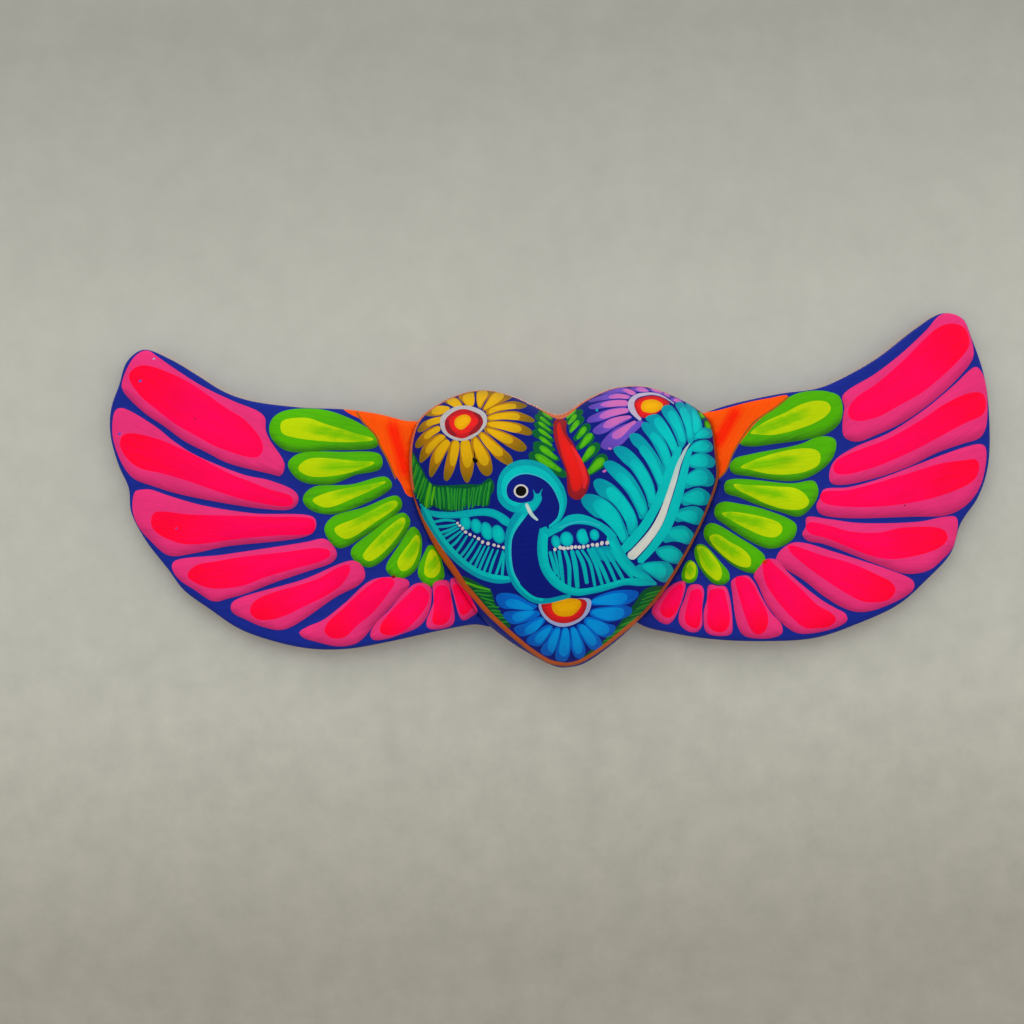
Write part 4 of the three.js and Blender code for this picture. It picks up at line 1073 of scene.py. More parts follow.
def grass():
    strokes = [
        disc([(410, 449), (427, 478), (432, 484), (470, 484), (480, 484), (490, 478), (494, 484),
              (494, 490), (491, 495), (488, 506), (475, 504), (467, 505), (458, 509), (445, 511),
              (432, 506), (424, 509), (417, 495), (410, 475)], "grass_dark", "even"),
        disc([(458, 576), (466, 577), (480, 584), (491, 591), (495, 603), (501, 613), (511, 627),
              (501, 625), (465, 585)], "grass_dark", "even"),
        disc([(643, 591), (650, 587), (662, 586), (669, 590), (654, 604), (640, 617), (599, 650),
              (580, 661), (592, 649), (608, 637), (634, 604)], "grass_dark", "even"),
    ]
    strokes += hatch([(434, 487), (455, 488), (472, 488), (491, 482)],
                     [(437, 508), (457, 510), (473, 507), (487, 505)], 34, 1.9,
                     ["grass", "grass_deep", "grass", "grass", "grass_deep"])
    strokes += hatch([(412, 452), (416, 462), (421, 471), (427, 480), (433, 487)],
                     [(410, 466), (411.5, 480), (415, 493), (421, 504), (430, 508)], 17, 2.1,
                     ["grass", "grass_deep", "leaf_dull"])
    strokes += [
        line([(430.5, 484), (428, 495), (426, 508)], [2, 2.6, 2], "leaf", "even"),
        line([(434.5, 487), (432.5, 497), (431.5, 505)], [1.6, 2.2, 1.5], "leaf", "even"),
        line([(463, 581), (475, 586), (490, 590)], [1.6, 2.6, 1.6], "leaf", "even"),
    ]
    strokes += hatch([(474, 590), (480, 597), (489, 608), (501, 622)],
                     [(491, 592.5), (493, 599), (498, 609), (508, 622.5)], 9, 1.7, ["grass"])
    strokes += hatch([(645, 594), (638, 606), (628, 618), (614, 632), (596, 648)],
                     [(666, 589), (655, 601), (643, 613), (627, 627), (607, 645)], 22, 1.5,
                     ["grass", "grass_deep", "leaf_dull"])
    return strokes


def rim_line():
    """The line along the lower edge of the heart, deeper along its underside as painted shade."""
    places = [
        (407.5, 479), (409.5, 490), (412.3, 500), (416.5, 510.5), (421, 521), (427, 531),
        (434, 542), (441, 552.5), (453, 569), (463.5, 584.5), (474.5, 597), (487, 611.5),
        (500, 624), (515, 637.3), (532, 651), (550, 661.8), (560, 664), (568, 664.5),
        (580, 661.5), (597, 651.5), (606, 645), (624, 630.5), (640, 617.5),
    ]
    widths = [4, 6, 6.4] + [6.6] * 6 + [5.8, 5.2, 5, 4.8, 4.6, 4.4, 4.2, 4] + [3.6] * 4 + [4, 4.4]
    return line(places, widths, "rim", "low")


def edge_line(angles, shares, pigment, spread):
    """A line from the heart's very edge inwards to shares of the way out, by angle in degrees."""
    turn = np.radians(np.arange(angles[0], angles[-1] + EDGE_STEP / 2, EDGE_STEP))
    edge, _ = radii_at(turn)
    near = on_dome(turn, np.interp(turn, np.radians(angles), shares))
    far = HEART_CENTRE + directions(turn) * edge[:, None] * EDGE_REACH
    return Stroke(np.vstack([near, far[::-1]]), pigment, spread)


def edge_lines():
    """The lines around the upper edge of the heart and through its cleft."""
    return [
        edge_line((-62, -58, -40, -24, -8, 4, 16, 24, 34, 40),
                  (0.99, 0.955, 0.953, 0.959, 0.966, 0.965, 0.977, 0.981, 0.99, 0.998),
                  "rim_brown", "edge"),
        edge_line((36, 44, 60, 74), (0.998, 0.991, 0.988, 0.975), "rim_light", "even"),
        edge_line((108, 118, 130, 144), (0.975, 0.988, 0.989, 0.986), "rim_light", "even"),
        edge_line((68, 76, 80, 84, 88, 92, 96, 100, 104, 112),
                  (0.986, 0.967, 0.948, 0.918, 0.89, 0.885, 0.902, 0.943, 0.969, 0.986),
                  "rim_light", "even"),
        edge_line((142, 152, 160, 172), (0.987, 0.982, 0.977, 0.976), "rim_light", "even"),
    ]


def chips():
    """A chip that shows black, and small drops of other paint."""
    return [
        disc([(472.5, 457.5), (475.5, 458.5), (478, 460), (476, 463.5), (473, 461.5)], "black"),
        line([(474, 450), (475, 459)], [0.6, 1.2], "black"),
        Stroke(ellipse((610, 448.5), (1.9, 1.2), 0.3, DROP_SIDES), "lilac"),
        Stroke(ellipse((604.5, 471), (2.2, 1.4), -0.4, DROP_SIDES), "lilac"),
        Stroke(ellipse((597, 410), (1.3, 1.6), 0, DROP_SIDES), "teal_deep"),
    ]


def over_the_joint():
    """The feathers beside the heart, whose paint runs on over the joint to the rim line."""
    strokes = painted_feathers([*LEFT_PINK[-3:], *RIGHT_PINK[-3:]], *PINK_PAINT)
    return strokes + painted_feathers([*LEFT_GREEN[-3:], *RIGHT_GREEN[-3:]], *GREEN_PAINT)


def heart_strokes():
    """Everything painted on the heart, from the lowest layer to the topmost."""
    strokes = (grass() + yellow_daisy() + purple_daisy() + blue_daisy() + ferns()
               + left_bird_wing() + tail_feather() + bird_body() + right_bird_wing()
               + bird_head() + red_plume() + [rim_line()] + chips())
    for stroke in strokes:
        stroke.place(off_sheet)
    strokes = over_the_joint() + strokes
    drawn = [stroke.points() for stroke in strokes]
    ends = np.cumsum([len(points) for points in drawn])[:-1]
    for stroke, placed in zip(strokes, np.split(onto_dome(np.vstack(drawn)), ends)):
        stroke.place(lambda points: placed)
    return strokes + edge_lines()


# Painting on the wings
def painted_feathers(shapes, base, core, spread):
    """Feathers as (outline, core), each painted in a base and a core colour, the base with painted
    shade along its underside.
    """
    strokes = []
    for outer, inner in shapes:
        strokes.append(Stroke(smooth(outer, FEATHER_STEP), base, "low", root=HEART_CENTRE))
        strokes.append(Stroke(smooth(inner, FEATHER_STEP), core, spread, root=HEART_CENTRE))
    return strokes


def wing_strokes(pink, green, shoulder, streak, brown, spots):
    """Everything painted on a wing, from the lowest layer to the topmost."""
    strokes = [Stroke(smooth(shoulder, FEATHER_STEP), "orange", "streak", streak)]
    strokes += painted_feathers(green, *GREEN_PAINT)
    strokes.append(Stroke(ribbon(brown, BROWN_WIDTH), "bark"))
    strokes += painted_feathers(pink, *PINK_PAINT)
    for place, radius, pigment in spots:
        radii = (radius, radius * DROP_FLATNESS)
        strokes.append(Stroke(ellipse(place, radii, DROP_TURN, DROP_SIDES), pigment))
    return strokes


# Cutting a surface along the strokes. Points fill it in rows, at shares of their spacing
ROW_SHARE = 0.87
CLEAR_SHARE = 0.55
MERGED = 1e-4
BACK_SPACING = 6.0


def cut_along(outline, strokes, guides, spacing):
    """Triangles over an outline that follow every stroke, and each one's topmost stroke."""
    points, edges = [], []
    for loop in [outline] + [stroke.outline for stroke in strokes] + guides:
        first, count = len(points), len(loop)
        points.extend(loop)
        edges.extend((first + i, first + (i + 1) % count) for i in range(count))
    tree = kdtree.KDTree(len(points))
    for i, (x, z) in enumerate(points):
        tree.insert((x, z, 0), i)
    tree.balance()
    low, high = outline.min(0), outline.max(0)
    rows = np.arange(low[1], high[1], spacing * ROW_SHARE)
    for row, z in enumerate(rows):
        for x in np.arange(low[0] + spacing / 2 * (row % 2), high[0], spacing):
            if tree.find((x, z, 0))[2] > CLEAR_SHARE * spacing:
                points.append((x, z))
    made = delaunay_2d_cdt([Vector(p) for p in points], edges, [], 0, MERGED, False)
    places = np.array([tuple(v) for v in made[0]])
    triangles = np.array(made[2])
    centres = places[triangles].mean(1)
    kept = inside(centres, outline)
    triangles, centres = triangles[kept], centres[kept]
    tops = np.full(len(triangles), -1)
    for number, stroke in enumerate(strokes):
        tops[inside(centres, stroke.outline)] = number
    used = np.unique(triangles)
    index = np.full(len(places), -1)
    index[used] = np.arange(len(used))
    return places[used], index[triangles], tops


def edge_loop(triangles):
    """The vertices around the edge of a sheet of triangles, in order."""
    following = {}
    seen = {(t[k], t[(k + 1) % 3]) for t in triangles.tolist() for k in range(3)}
    for a, b in seen:
        if (b, a) not in seen:
            following[a] = b
    start = next(iter(following))
    loop = [start]
    while following[loop[-1]] != start:
        loop.append(following[loop[-1]])
    return loop


# Tones of the bare ground and of plain strokes, the half width that thin strokes count as, and
# how far apart the layers of paint lie in the noise
GROUND_SHADE = 0.72
GROUND_MIX = 0.3
PLAIN_MIX = 0.35
THINNEST_HALF = 0.3
LAYER_STEP = 3.7


def tones(points, stroke):
    """How much of a stroke's deeper tone lies at each point, from 0 to 1.

    A tip deepens towards its far end, an edge all round, a heart towards its far end within a dark
    rim, a low one along its underside as painted shade, a spine along its middle and a streak at
    one place.
    Places along a stroke are shares of its length, and distances across it are in mm.
    """
    gap = distance_to(points, stroke.outline)
    along = stroke.end - stroke.start
    length = np.linalg.norm(along) + 1e-6
    t = (points - stroke.start) @ along / length ** 2
    side = np.array([-along[1], along[0]]) / length
    across = np.abs((points - stroke.start) @ side)
    half = max(float(gap.max()), THINNEST_HALF)
    rim = 1 - ease(gap, 0, 0.8 * half)
    if stroke.spread == "tip":
        return np.maximum(ease(t, 0.4, 1.0), 0.4 * rim)
    if stroke.spread == "edge":
        return 0.9 * rim
    if stroke.spread == "heart":
        return np.maximum(0.9 * ease(t, 0.35, 1.0), 0.3 * rim)
    # Painted shade: the deeper tone gathers near the edge where the outline faces down
    if stroke.spread == "low":
        downward = -normals_at(points, stroke.outline)[:, 1]
        near = 1 - ease(gap, 0, 0.6 * half)
        return near * (0.1 + 0.9 * ease(downward, 0.0, 0.8))
    if stroke.spread == "spine":
        return (1 - ease(across, 0.8, 2.4)) * ease(t, 0.0, 0.12) * (1 - ease(t, 0.55, 0.85))
    if stroke.spread == "streak":
        return (1 - ease(across, 0.8, 4.0)) * ease(t, -0.3, 0.1) * (1 - ease(t, 0.9, 1.3))
    return np.full(len(points), PLAIN_MIX)


def new_piece(name, places, faces):
    """An object made of faces between places."""
    mesh = bpy.data.meshes.new(name)
    mesh.from_pydata(places, [], faces)
    piece = bpy.data.objects.new(name, mesh)
    bpy.context.collection.objects.link(piece)
    return piece


def paint_solid(name, outline, strokes, ground, guides, spacing, depth_at, rings):
    """A closed solid: a painted front over an outline, then rings round to its back."""
    flat, triangles, tops = cut_along(outline, strokes, guides, spacing)
    if area(flat[triangles[0]]) > 0:
        triangles = triangles[:, ::-1]
    verts = [np.column_stack([flat[:, 0], -depth_at(flat), flat[:, 1]])]
    loop = edge_loop(triangles)
    edge = flat[loop]
    faces = triangles.tolist()
    kinds = tops.tolist()
    materials = [0] * len(faces)
    previous, total = loop, len(flat)
    normals = normals_at(edge, outline)
    front = depth_at(edge)
    for ring in rings(edge, normals, front):
        verts.append(ring.places)
        current = list(range(total, total + len(edge)))
        total += len(edge)
        for i in range(len(edge)):
            j = (i + 1) % len(edge)
            faces.append([previous[j], previous[i], current[i], current[j]])
            kinds.append(-1)
            materials.append(ring.material)
        previous = current
    back, across, _ = cut_along(ring.places[:, [0, 2]], [], [], BACK_SPACING)
    if area(back[across[0]]) < 0:
        across = across[:, ::-1]
    verts.append(np.column_stack([back[:, 0], np.full(len(back), ring.places[0, 1]), back[:, 1]]))
    faces += (across + total).tolist()
    kinds += [-1] * len(across)
    materials += [ring.material] * len(across)
    piece = new_piece(name, (np.vstack(verts) * MM).tolist(), faces)
    piece.data.polygons.foreach_set("material_index", materials)
    piece.data.polygons.foreach_set("use_smooth", [True] * len(faces))
    add_pigments(piece.data, np.array(kinds), strokes, ground, len(triangles))
    piece.data.update()
    return piece


def add_pigments(mesh, kinds, strokes, ground, painted):
    """Stores each corner's two tones, their mix and its place along the brush."""
    corners = len(mesh.loops)
    starts = np.zeros(len(mesh.polygons), int)
    sizes = np.zeros(len(mesh.polygons), int)
    vertices = np.zeros(corners, int)
    mesh.polygons.foreach_get("loop_start", starts)
    mesh.polygons.foreach_get("loop_total", sizes)
    mesh.loops.foreach_get("vertex_index", vertices)
    places = np.zeros(len(mesh.vertices) * 3)
    mesh.vertices.foreach_get("co", places)
    places = places.reshape(-1, 3)[vertices][:, [0, 2]] / MM
    kind = np.repeat(kinds, sizes)
    light = np.tile(rgba(ground), (corners, 1))
    deep = light.copy()
    deep[:, :3] *= GROUND_SHADE
    mix = np.full(corners, GROUND_MIX)
    brush = np.column_stack([places, np.zeros(corners)])
    for number in np.unique(kinds[:painted]):
        if number < 0:
            continue
        stroke = strokes[number]
        chosen = np.flatnonzero(kind == number)
        here = places[chosen]
        light[chosen, :3], deep[chosen, :3] = stroke.light, stroke.deep
        mix[chosen] = tones(here, stroke)
        along = stroke.end - stroke.start
        along /= np.linalg.norm(along) + 1e-6
        across = np.array([-along[1], along[0]])
        from_start = here - stroke.start
        brush[chosen] = np.column_stack([from_start @ along, from_start @ across,
                                         np.full(len(chosen), LAYER_STEP * number)])
    for label, kind_of, values, field in (
            ("light", "FLOAT_COLOR", light, "color"), ("deep", "FLOAT_COLOR", deep, "color"),
            ("mix", "FLOAT", mix, "value"), ("brush", "FLOAT_VECTOR", brush, "vector")):
        attribute = mesh.attributes.new(label, kind_of, "CORNER")
        attribute.data.foreach_set(field, values.ravel().astype(np.float32))


class Ring:
    """One ring of a solid's side or back, and the material of the faces leading to it."""

    def __init__(self, flat, depth, material=0):
        depth = np.broadcast_to(depth, len(flat))
        self.places = np.column_stack([flat[:, 0], -depth, flat[:, 1]])
        self.material = material


# Materials
class Nodes:
    """A short way to write a node tree."""

    def __init__(self, material):
        material.use_nodes = True
        self.tree = material.node_tree
        self.tree.nodes.clear()

    def add(self, kind, settings=None, **sockets):
        node = self.tree.nodes.new(kind)
        for key, value in (settings or {}).items():
            setattr(node, key, value)
        for key, value in sockets.items():
            socket = node.inputs[int(key[1:])] if key[0] == "i" and key[1:].isdigit() \
                else node.inputs[key.replace("_", " ")]
            if isinstance(value, bpy.types.NodeSocket):
                self.tree.links.new(value, socket)
            else:
                socket.default_value = value
        return node


def new_material(name):
    """A material, its empty node tree and the place on the object."""
    material = bpy.data.materials.new(name)
    nodes = Nodes(material)
    return material, nodes, nodes.add("ShaderNodeTexCoord").outputs["Object"]


def attribute(nodes, name):
    return nodes.add("ShaderNodeAttribute", {"attribute_name": name})


def stretched(nodes, vector, scale):
    return nodes.add("ShaderNodeMapping", Vector=vector, Scale=scale).outputs["Vector"]


def noise(nodes, vector, scale, detail=3.0, roughness=0.55):
    return nodes.add("ShaderNodeTexNoise", Vector=vector, Scale=scale, Detail=detail,
                     Roughness=roughness).outputs["Fac"]


def maths(nodes, operation, a, b=0.5, clamp=False):
    return nodes.add("ShaderNodeMath", {"operation": operation, "use_clamp": clamp},
                     i0=a, i1=b).outputs[0]


def ranged(nodes, value, low, high, to_low, to_high):
    return nodes.add("ShaderNodeMapRange", i0=value, i1=low, i2=high, i3=to_low,
                     i4=to_high).outputs[0]


def mixed(nodes, factor, a, b):
    return nodes.add("ShaderNodeMix", {"data_type": "RGBA"}, i0=factor, i6=a, i7=b).outputs[2]


def shaded(nodes, colour, value):
    return nodes.add("ShaderNodeHueSaturation", Value=value, Color=colour).outputs[0]


def surface(nodes, colour, rough, height, strength, distance, **settings):
    """Joins a colour, a roughness and the height of a relief to a material's output."""
    bump = nodes.add("ShaderNodeBump", Strength=strength, Distance=distance, Height=height)
    shader = nodes.add("ShaderNodeBsdfPrincipled", Base_Color=colour, Roughness=rough,
                       Normal=bump.outputs[0], **settings)
    nodes.add("ShaderNodeOutputMaterial", Surface=shader.outputs[0])


# How noise is stretched: along the brush, across it and between layers, and over wiped clay
STREAK_FORM = (0.07, 0.95, 1.0)
HAIR_FORM = (0.22, 4.2, 1.0)
WIPE_FORM = (26.0, 26.0, 110.0)

BRIGHT_ZINC = (0.42, 0.42, 0.40, 1)
DULL_ZINC = (0.24, 0.24, 0.235, 1)


def paint_material():
    """Satin paint laid on with a brush: streaks run along each stroke."""
    material, nodes, spot = new_material("brushed_paint")
    brush = attribute(nodes, "brush").outputs["Vector"]
    streaks = noise(nodes, stretched(nodes, brush, STREAK_FORM), 1.0, 4.0, 0.6)
    hairs = noise(nodes, stretched(nodes, brush, HAIR_FORM), 1.0, 3.0, 0.6)
    clouds = noise(nodes, spot, 55.0, 3.0)
    grain = noise(nodes, spot, 900.0, 2.0)
    streaky = ranged(nodes, streaks, 0.3, 0.7, -0.26, 0.26)
    mix = maths(nodes, "ADD", attribute(nodes, "mix").outputs["Fac"], streaky, True)
    colour = mixed(nodes, mix, attribute(nodes, "light").outputs["Color"],
                   attribute(nodes, "deep").outputs["Color"])
    value = maths(nodes, "MULTIPLY", ranged(nodes, clouds, 0.3, 0.7, 0.93, 1.05),
                  ranged(nodes, hairs, 0.25, 0.75, 0.93, 1.06))
    rough = ranged(nodes, maths(nodes, "ADD", hairs, clouds), 0.6, 1.4, 0.42, 0.58)
    height = maths(nodes, "ADD", maths(nodes, "MULTIPLY", hairs, 0.5),
                   maths(nodes, "ADD", maths(nodes, "MULTIPLY", streaks, 0.6),
                         maths(nodes, "MULTIPLY", grain, 0.35)))
    surface(nodes, shaded(nodes, colour, value), rough, height, 0.35, 0.35 * MM,
            Specular_IOR_Level=0.04)
    return material


def clay_material(name, light, deep):
    """Bare low-fired clay, wiped by hand, with specks of grit."""
    material, nodes, spot = new_material(name)
    wiped = noise(nodes, stretched(nodes, spot, WIPE_FORM), 1.0, 4.0)
    clouds = noise(nodes, spot, 32.0, 4.0)
    grit = nodes.add("ShaderNodeTexVoronoi", Vector=spot, Scale=620.0).outputs["Distance"]
    grain = noise(nodes, spot, 1100.0, 3.0)
    mix = ranged(nodes, maths(nodes, "ADD", wiped, clouds), 0.7, 1.3, 0.0, 1.0)
    colour = mixed(nodes, mix, rgba(light), rgba(deep))
    specks = ranged(nodes, grit, 0.06, 0.16, 0.62, 1.0)
    value = maths(nodes, "MULTIPLY", specks, ranged(nodes, grain, 0.3, 0.7, 0.9, 1.08))
    rough = ranged(nodes, grain, 0.3, 0.7, 0.78, 0.95)
    height = maths(nodes, "ADD", maths(nodes, "MULTIPLY", wiped, 0.8),
                   maths(nodes, "ADD", maths(nodes, "MULTIPLY", grain, 0.5),
                         maths(nodes, "MULTIPLY", specks, 0.25)))
    surface(nodes, shaded(nodes, colour, value), rough, height, 0.6, 0.6 * MM)
    return material


def wire_material():
    """Dull galvanised wire with fine drawing marks."""
    material, nodes, spot = new_material("galvanised_wire")
    patches = noise(nodes, spot, 420.0, 4.0)
    fine = noise(nodes, spot, 2600.0, 2.0)
    colour = mixed(nodes, ranged(nodes, patches, 0.35, 0.65, 0.0, 1.0), BRIGHT_ZINC, DULL_ZINC)
    rough = ranged(nodes, maths(nodes, "ADD", patches, fine), 0.7, 1.3, 0.3, 0.55)
    surface(nodes, colour, rough, fine, 0.3, 0.1 * MM, Metallic=1.0)
    return material


PAINT = paint_material()
CLAY = clay_material("bare_clay", (186, 112, 76), (158, 90, 60))
COIL_CLAY = clay_material("coil_clay", (176, 104, 70), (146, 82, 54))
WIRE = wire_material()


# The clay pieces. Points are this far apart on their fronts
HEART_SPACING = 1.25
WING_SPACING = 1.7

# The heart: guides near the edge of its dome, rings down its side, as shares of the front's
# depth, and in its hollow, and then its rounded rims
GUIDE_SHARES = (0.9995, 0.9965, 0.99, 0.98, 0.965, 0.945, 0.92, 0.89, 0.855)
SIDE_SHARES = (0.75, 0.45)
HOLLOW_TURNS = (0.15, 0.35, 0.6, 0.85, 1.1, 1.35, 1.5)
RIM_ROUND = 1.0
RIM_CORNER = 0.3
INNER_ROUND = 0.7


def make_heart():
    """The hollow shell, with a recess for its back plate."""
    guides = [on_dome(RING_ANGLES, share) for share in GUIDE_SHARES]

    def rings(edge, normals, front):
        inner = edge - normals * SHELL_WALL
        ledge = edge - normals * (SHELL_WALL + PLATE_LEDGE)
        for share in SIDE_SHARES:
            yield Ring(edge, front * share)
        yield Ring(edge, RIM_ROUND)
        yield Ring(edge - normals * RIM_CORNER, RIM_CORNER, 1)
        yield Ring(edge - normals * RIM_ROUND, 0.0, 1)
        yield Ring(inner + normals * INNER_ROUND, 0.0, 1)
        yield Ring(inner, INNER_ROUND, 1)
        yield Ring(inner, LEDGE_DEPTH, 1)
        yield Ring(ledge, LEDGE_DEPTH, 1)
        peak = HEART_DEPTH - SHELL_WALL - LEDGE_DEPTH
        for turn in HOLLOW_TURNS:
            yield Ring(HEART_CENTRE + (ledge - HEART_CENTRE) * math.cos(turn),
                       LEDGE_DEPTH + peak * math.sin(turn), 1)

    return paint_solid("heart_painted", HEART, heart_strokes(), HEART_BLUE, guides,
                       HEART_SPACING, dome_depth, rings)


# The wings: guides along their edge, the relief's run-out there, and the sides
WING_STEP = 1.1
PILLOW_STEP = 1.0
PILLOW_GUIDE = 0.5
WING_GUIDES = (0.12, 0.5, 1.1, 1.8, 2.6)
RELIEF_START = 5
SEAM_REACH = 0.3
UPPER_SHARE = 0.8
LOWER_SHARE = 0.7
SIDE_DEPTH = 1.4
SIDE_STEP = 0.5
WING_ROUND = 0.8
WING_CORNER = 0.25


def wing_depth(outline, feathers, tip):
    """How far a wing stands out from the wall, as a function of points."""

    def depth(points):
        edge_gap = distance_to(points, outline)
        fall = WING_EDGE_ROUND - np.minimum(edge_gap, WING_EDGE_ROUND)
        body = (WING_ROOT_THICKNESS - WING_EDGE_ROUND
                + np.sqrt(np.maximum(WING_EDGE_ROUND ** 2 - fall ** 2, 0)))
        relief = np.zeros(len(points))
        for feather in feathers:
            near = np.all((points > feather.min(0)) & (points < feather.max(0)), axis=1)
            chosen = np.flatnonzero(near)
            chosen = chosen[inside(points[chosen], feather)]
            gap = distance_to(points[chosen], feather)
            slope = 1 - np.minimum(gap / FEATHER_CROWN, 1)
            pillow = FEATHER_RISE * np.sqrt(1 - slope ** 2)
            relief[chosen] = np.maximum(relief[chosen], pillow)
        relief *= ease(edge_gap, 0, RELIEF_START)
        return (body + relief) * wing_face(points, tip) / WING_ROOT_THICKNESS

    return depth


def join_root(drawn, side):
    """The drawn wing cut off where the heart's side begins."""
    heart = grow(HEART, SEAM)
    outside = ~inside(drawn, heart)
    count = len(drawn)
    first = next(i for i in range(count) if outside[i] and not outside[i - 1])
    kept = [drawn[(first + k) % count] for k in range(int(outside.sum()))]
    ends = [int(np.argmin(np.linalg.norm(heart - p, axis=1))) for p in (kept[-1], kept[0])]
    steps = (ends[1] - ends[0]) % len(heart)
    if steps > len(heart) / 2:
        seam = [heart[(ends[0] - k) % len(heart)] for k in range(len(heart) - steps + 1)]
    else:
        seam = [heart[(ends[0] + k) % len(heart)] for k in range(steps + 1)]
    return np.array(kept + seam)


def make_wing(side, node, drawn_outline, feathers, shoulder):
    """A wing with feathers in relief, and a groove behind its root for the coil."""
    low, high = box_of(node)
    drawn = smooth(drawn_outline, WING_STEP)
    tip = high[0] if side > 0 else low[0]
    drawn_tip = drawn[:, 0].max() if side > 0 else drawn[:, 0].min()
    upright = (high[2] - low[2]) / np.ptp(drawn[:, 1])
    full = np.column_stack([drawn[:, 0] * tip / drawn_tip,
                            low[2] + (drawn[:, 1] - drawn[:, 1].min()) * upright])

    def onto_wing(seen):
        return moved_to(wing_face(seen, tip) + FEATHER_RISE, seen)

    strokes = wing_strokes(*feathers, *shoulder)
    for stroke in strokes:
        stroke.place(onto_wing)
    pillows = [onto_wing(smooth(outer, PILLOW_STEP)) for group in feathers for outer, _ in group]
    outline = join_root(full, side)
    depth = wing_depth(full, pillows, tip)
    guides = [grow(full, -gap) for gap in WING_GUIDES]
    guides += [grow(pillow, -PILLOW_GUIDE) for pillow in pillows]
    heart = grow(HEART, SEAM)
    coil_low, coil_high = box_of(node + "_luting_coil")

    def rings(edge, normals, front):
        at_seam = distance_to(edge, heart) < SEAM_REACH
        beside = at_seam & (edge[:, 1] > coil_low[2] - FIT) & (edge[:, 1] < coil_high[2] + FIT)
        groove = np.where(beside, 2 * COIL_RADIUS + 1.5 * FIT, 0.0)[:, None]
        shelf = np.where(beside, 2 * COIL_RADIUS + FIT, SIDE_DEPTH)
        yield Ring(edge, np.maximum(front * UPPER_SHARE, shelf))
        yield Ring(edge, np.minimum(front * LOWER_SHARE, shelf + SIDE_STEP))
        yield Ring(edge, shelf)
        yield Ring(edge - normals * groove, shelf, 1)
        yield Ring(edge - normals * groove, WING_ROUND, 1)
        yield Ring(edge - normals * (groove + WING_CORNER), WING_CORNER, 1)
        yield Ring(edge - normals * (groove + WING_ROUND), 0.0, 1)

    return paint_solid(node + "_painted", outline, strokes, WING_BLUE, guides, WING_SPACING,
                       depth, rings)


# Round bars. The first direction across them is taken off a line that none of them follows
ASIDE = (0.31, 0.9, 0.17)
COIL_SIDES = 20
WIRE_SIDES = 14


def tube(name, path, radii, sides):
    """A closed bar along a path of 3-D points, in mm, with flat ends."""
    path = np.array(path, float)
    radii = np.broadcast_to(radii, len(path))
    along = np.gradient(path, axis=0)
    along /= np.linalg.norm(along, axis=1)[:, None]
    across = np.cross(along[0], ASIDE)
    verts, faces = [], []
    for place, direction, radius in zip(path, along, radii):
        across -= direction * (across @ direction)
        across /= np.linalg.norm(across)
        other = np.cross(direction, across)
        for k in range(sides):
            angle = 2 * math.pi * k / sides
            verts.append(place + radius * (across * math.cos(angle) + other * math.sin(angle)))
    last = (len(path) - 1) * sides
    for first in range(0, last, sides):
        for k in range(sides):
            m = (k + 1) % sides
            faces.append([first + k, first + m, first + sides + m, first + sides + k])
    faces.append(list(range(sides))[::-1])
    faces.append(list(range(last, last + sides)))
    piece = new_piece(name, (np.array(verts) * MM).tolist(), faces)
    piece.data.polygons.foreach_set("use_smooth", [True] * (len(faces) - 2) + [False] * 2)
    piece.data.update()
    return piece


# Finger marks along a coil: how deep the broad and the fine ones are, and how fast they follow
BROAD_DENT = 0.16
FINE_DENT = 0.05
BROAD_WAVE = 0.55
FINE_WAVE = 1.7
WAVE_STEP = 0.9


def make_coil(side, node):
    """A coil of clay pressed into its groove, dented by the fingers that pressed it."""
    low, high = box_of(node)
    line = grow(HEART, FIT + COIL_RADIUS)
    line = line[(line[:, 0] * side > 0) & (line[:, 1] > low[2]) & (line[:, 1] < high[2])]
    line = line[np.argsort(-line[:, 1])]
    wave = np.arange(len(line)) * WAVE_STEP
    radii = (COIL_RADIUS - BROAD_DENT * (1 + np.sin(wave * BROAD_WAVE))
             - FINE_DENT * (1 + np.sin(wave * FINE_WAVE)))
    path = np.column_stack([line[:, 0], np.full(len(line), -COIL_RADIUS), line[:, 1]])
    return tube(node + "_pressed", path, radii, COIL_SIDES)


# The hanging wire, in the sizes of its solid. Its legs are at shares of its half width and drop
WIRE_DIAMETER = 1.4
LUG_WIDTH = 11.0
WIRE_SHOULDER = 3.0
WIRE_LEAN = math.radians(2.5)
WIRE_STEP = 0.5
LEG_FORM = ((0.28, 0.2), (0.66, 0.5), (0.94, 0.78))
TWIST_TURNS = 2
TWIST_CUTS = 24
TWIST_PITCH = 4.6
TWIST_CLEARANCE = 0.65


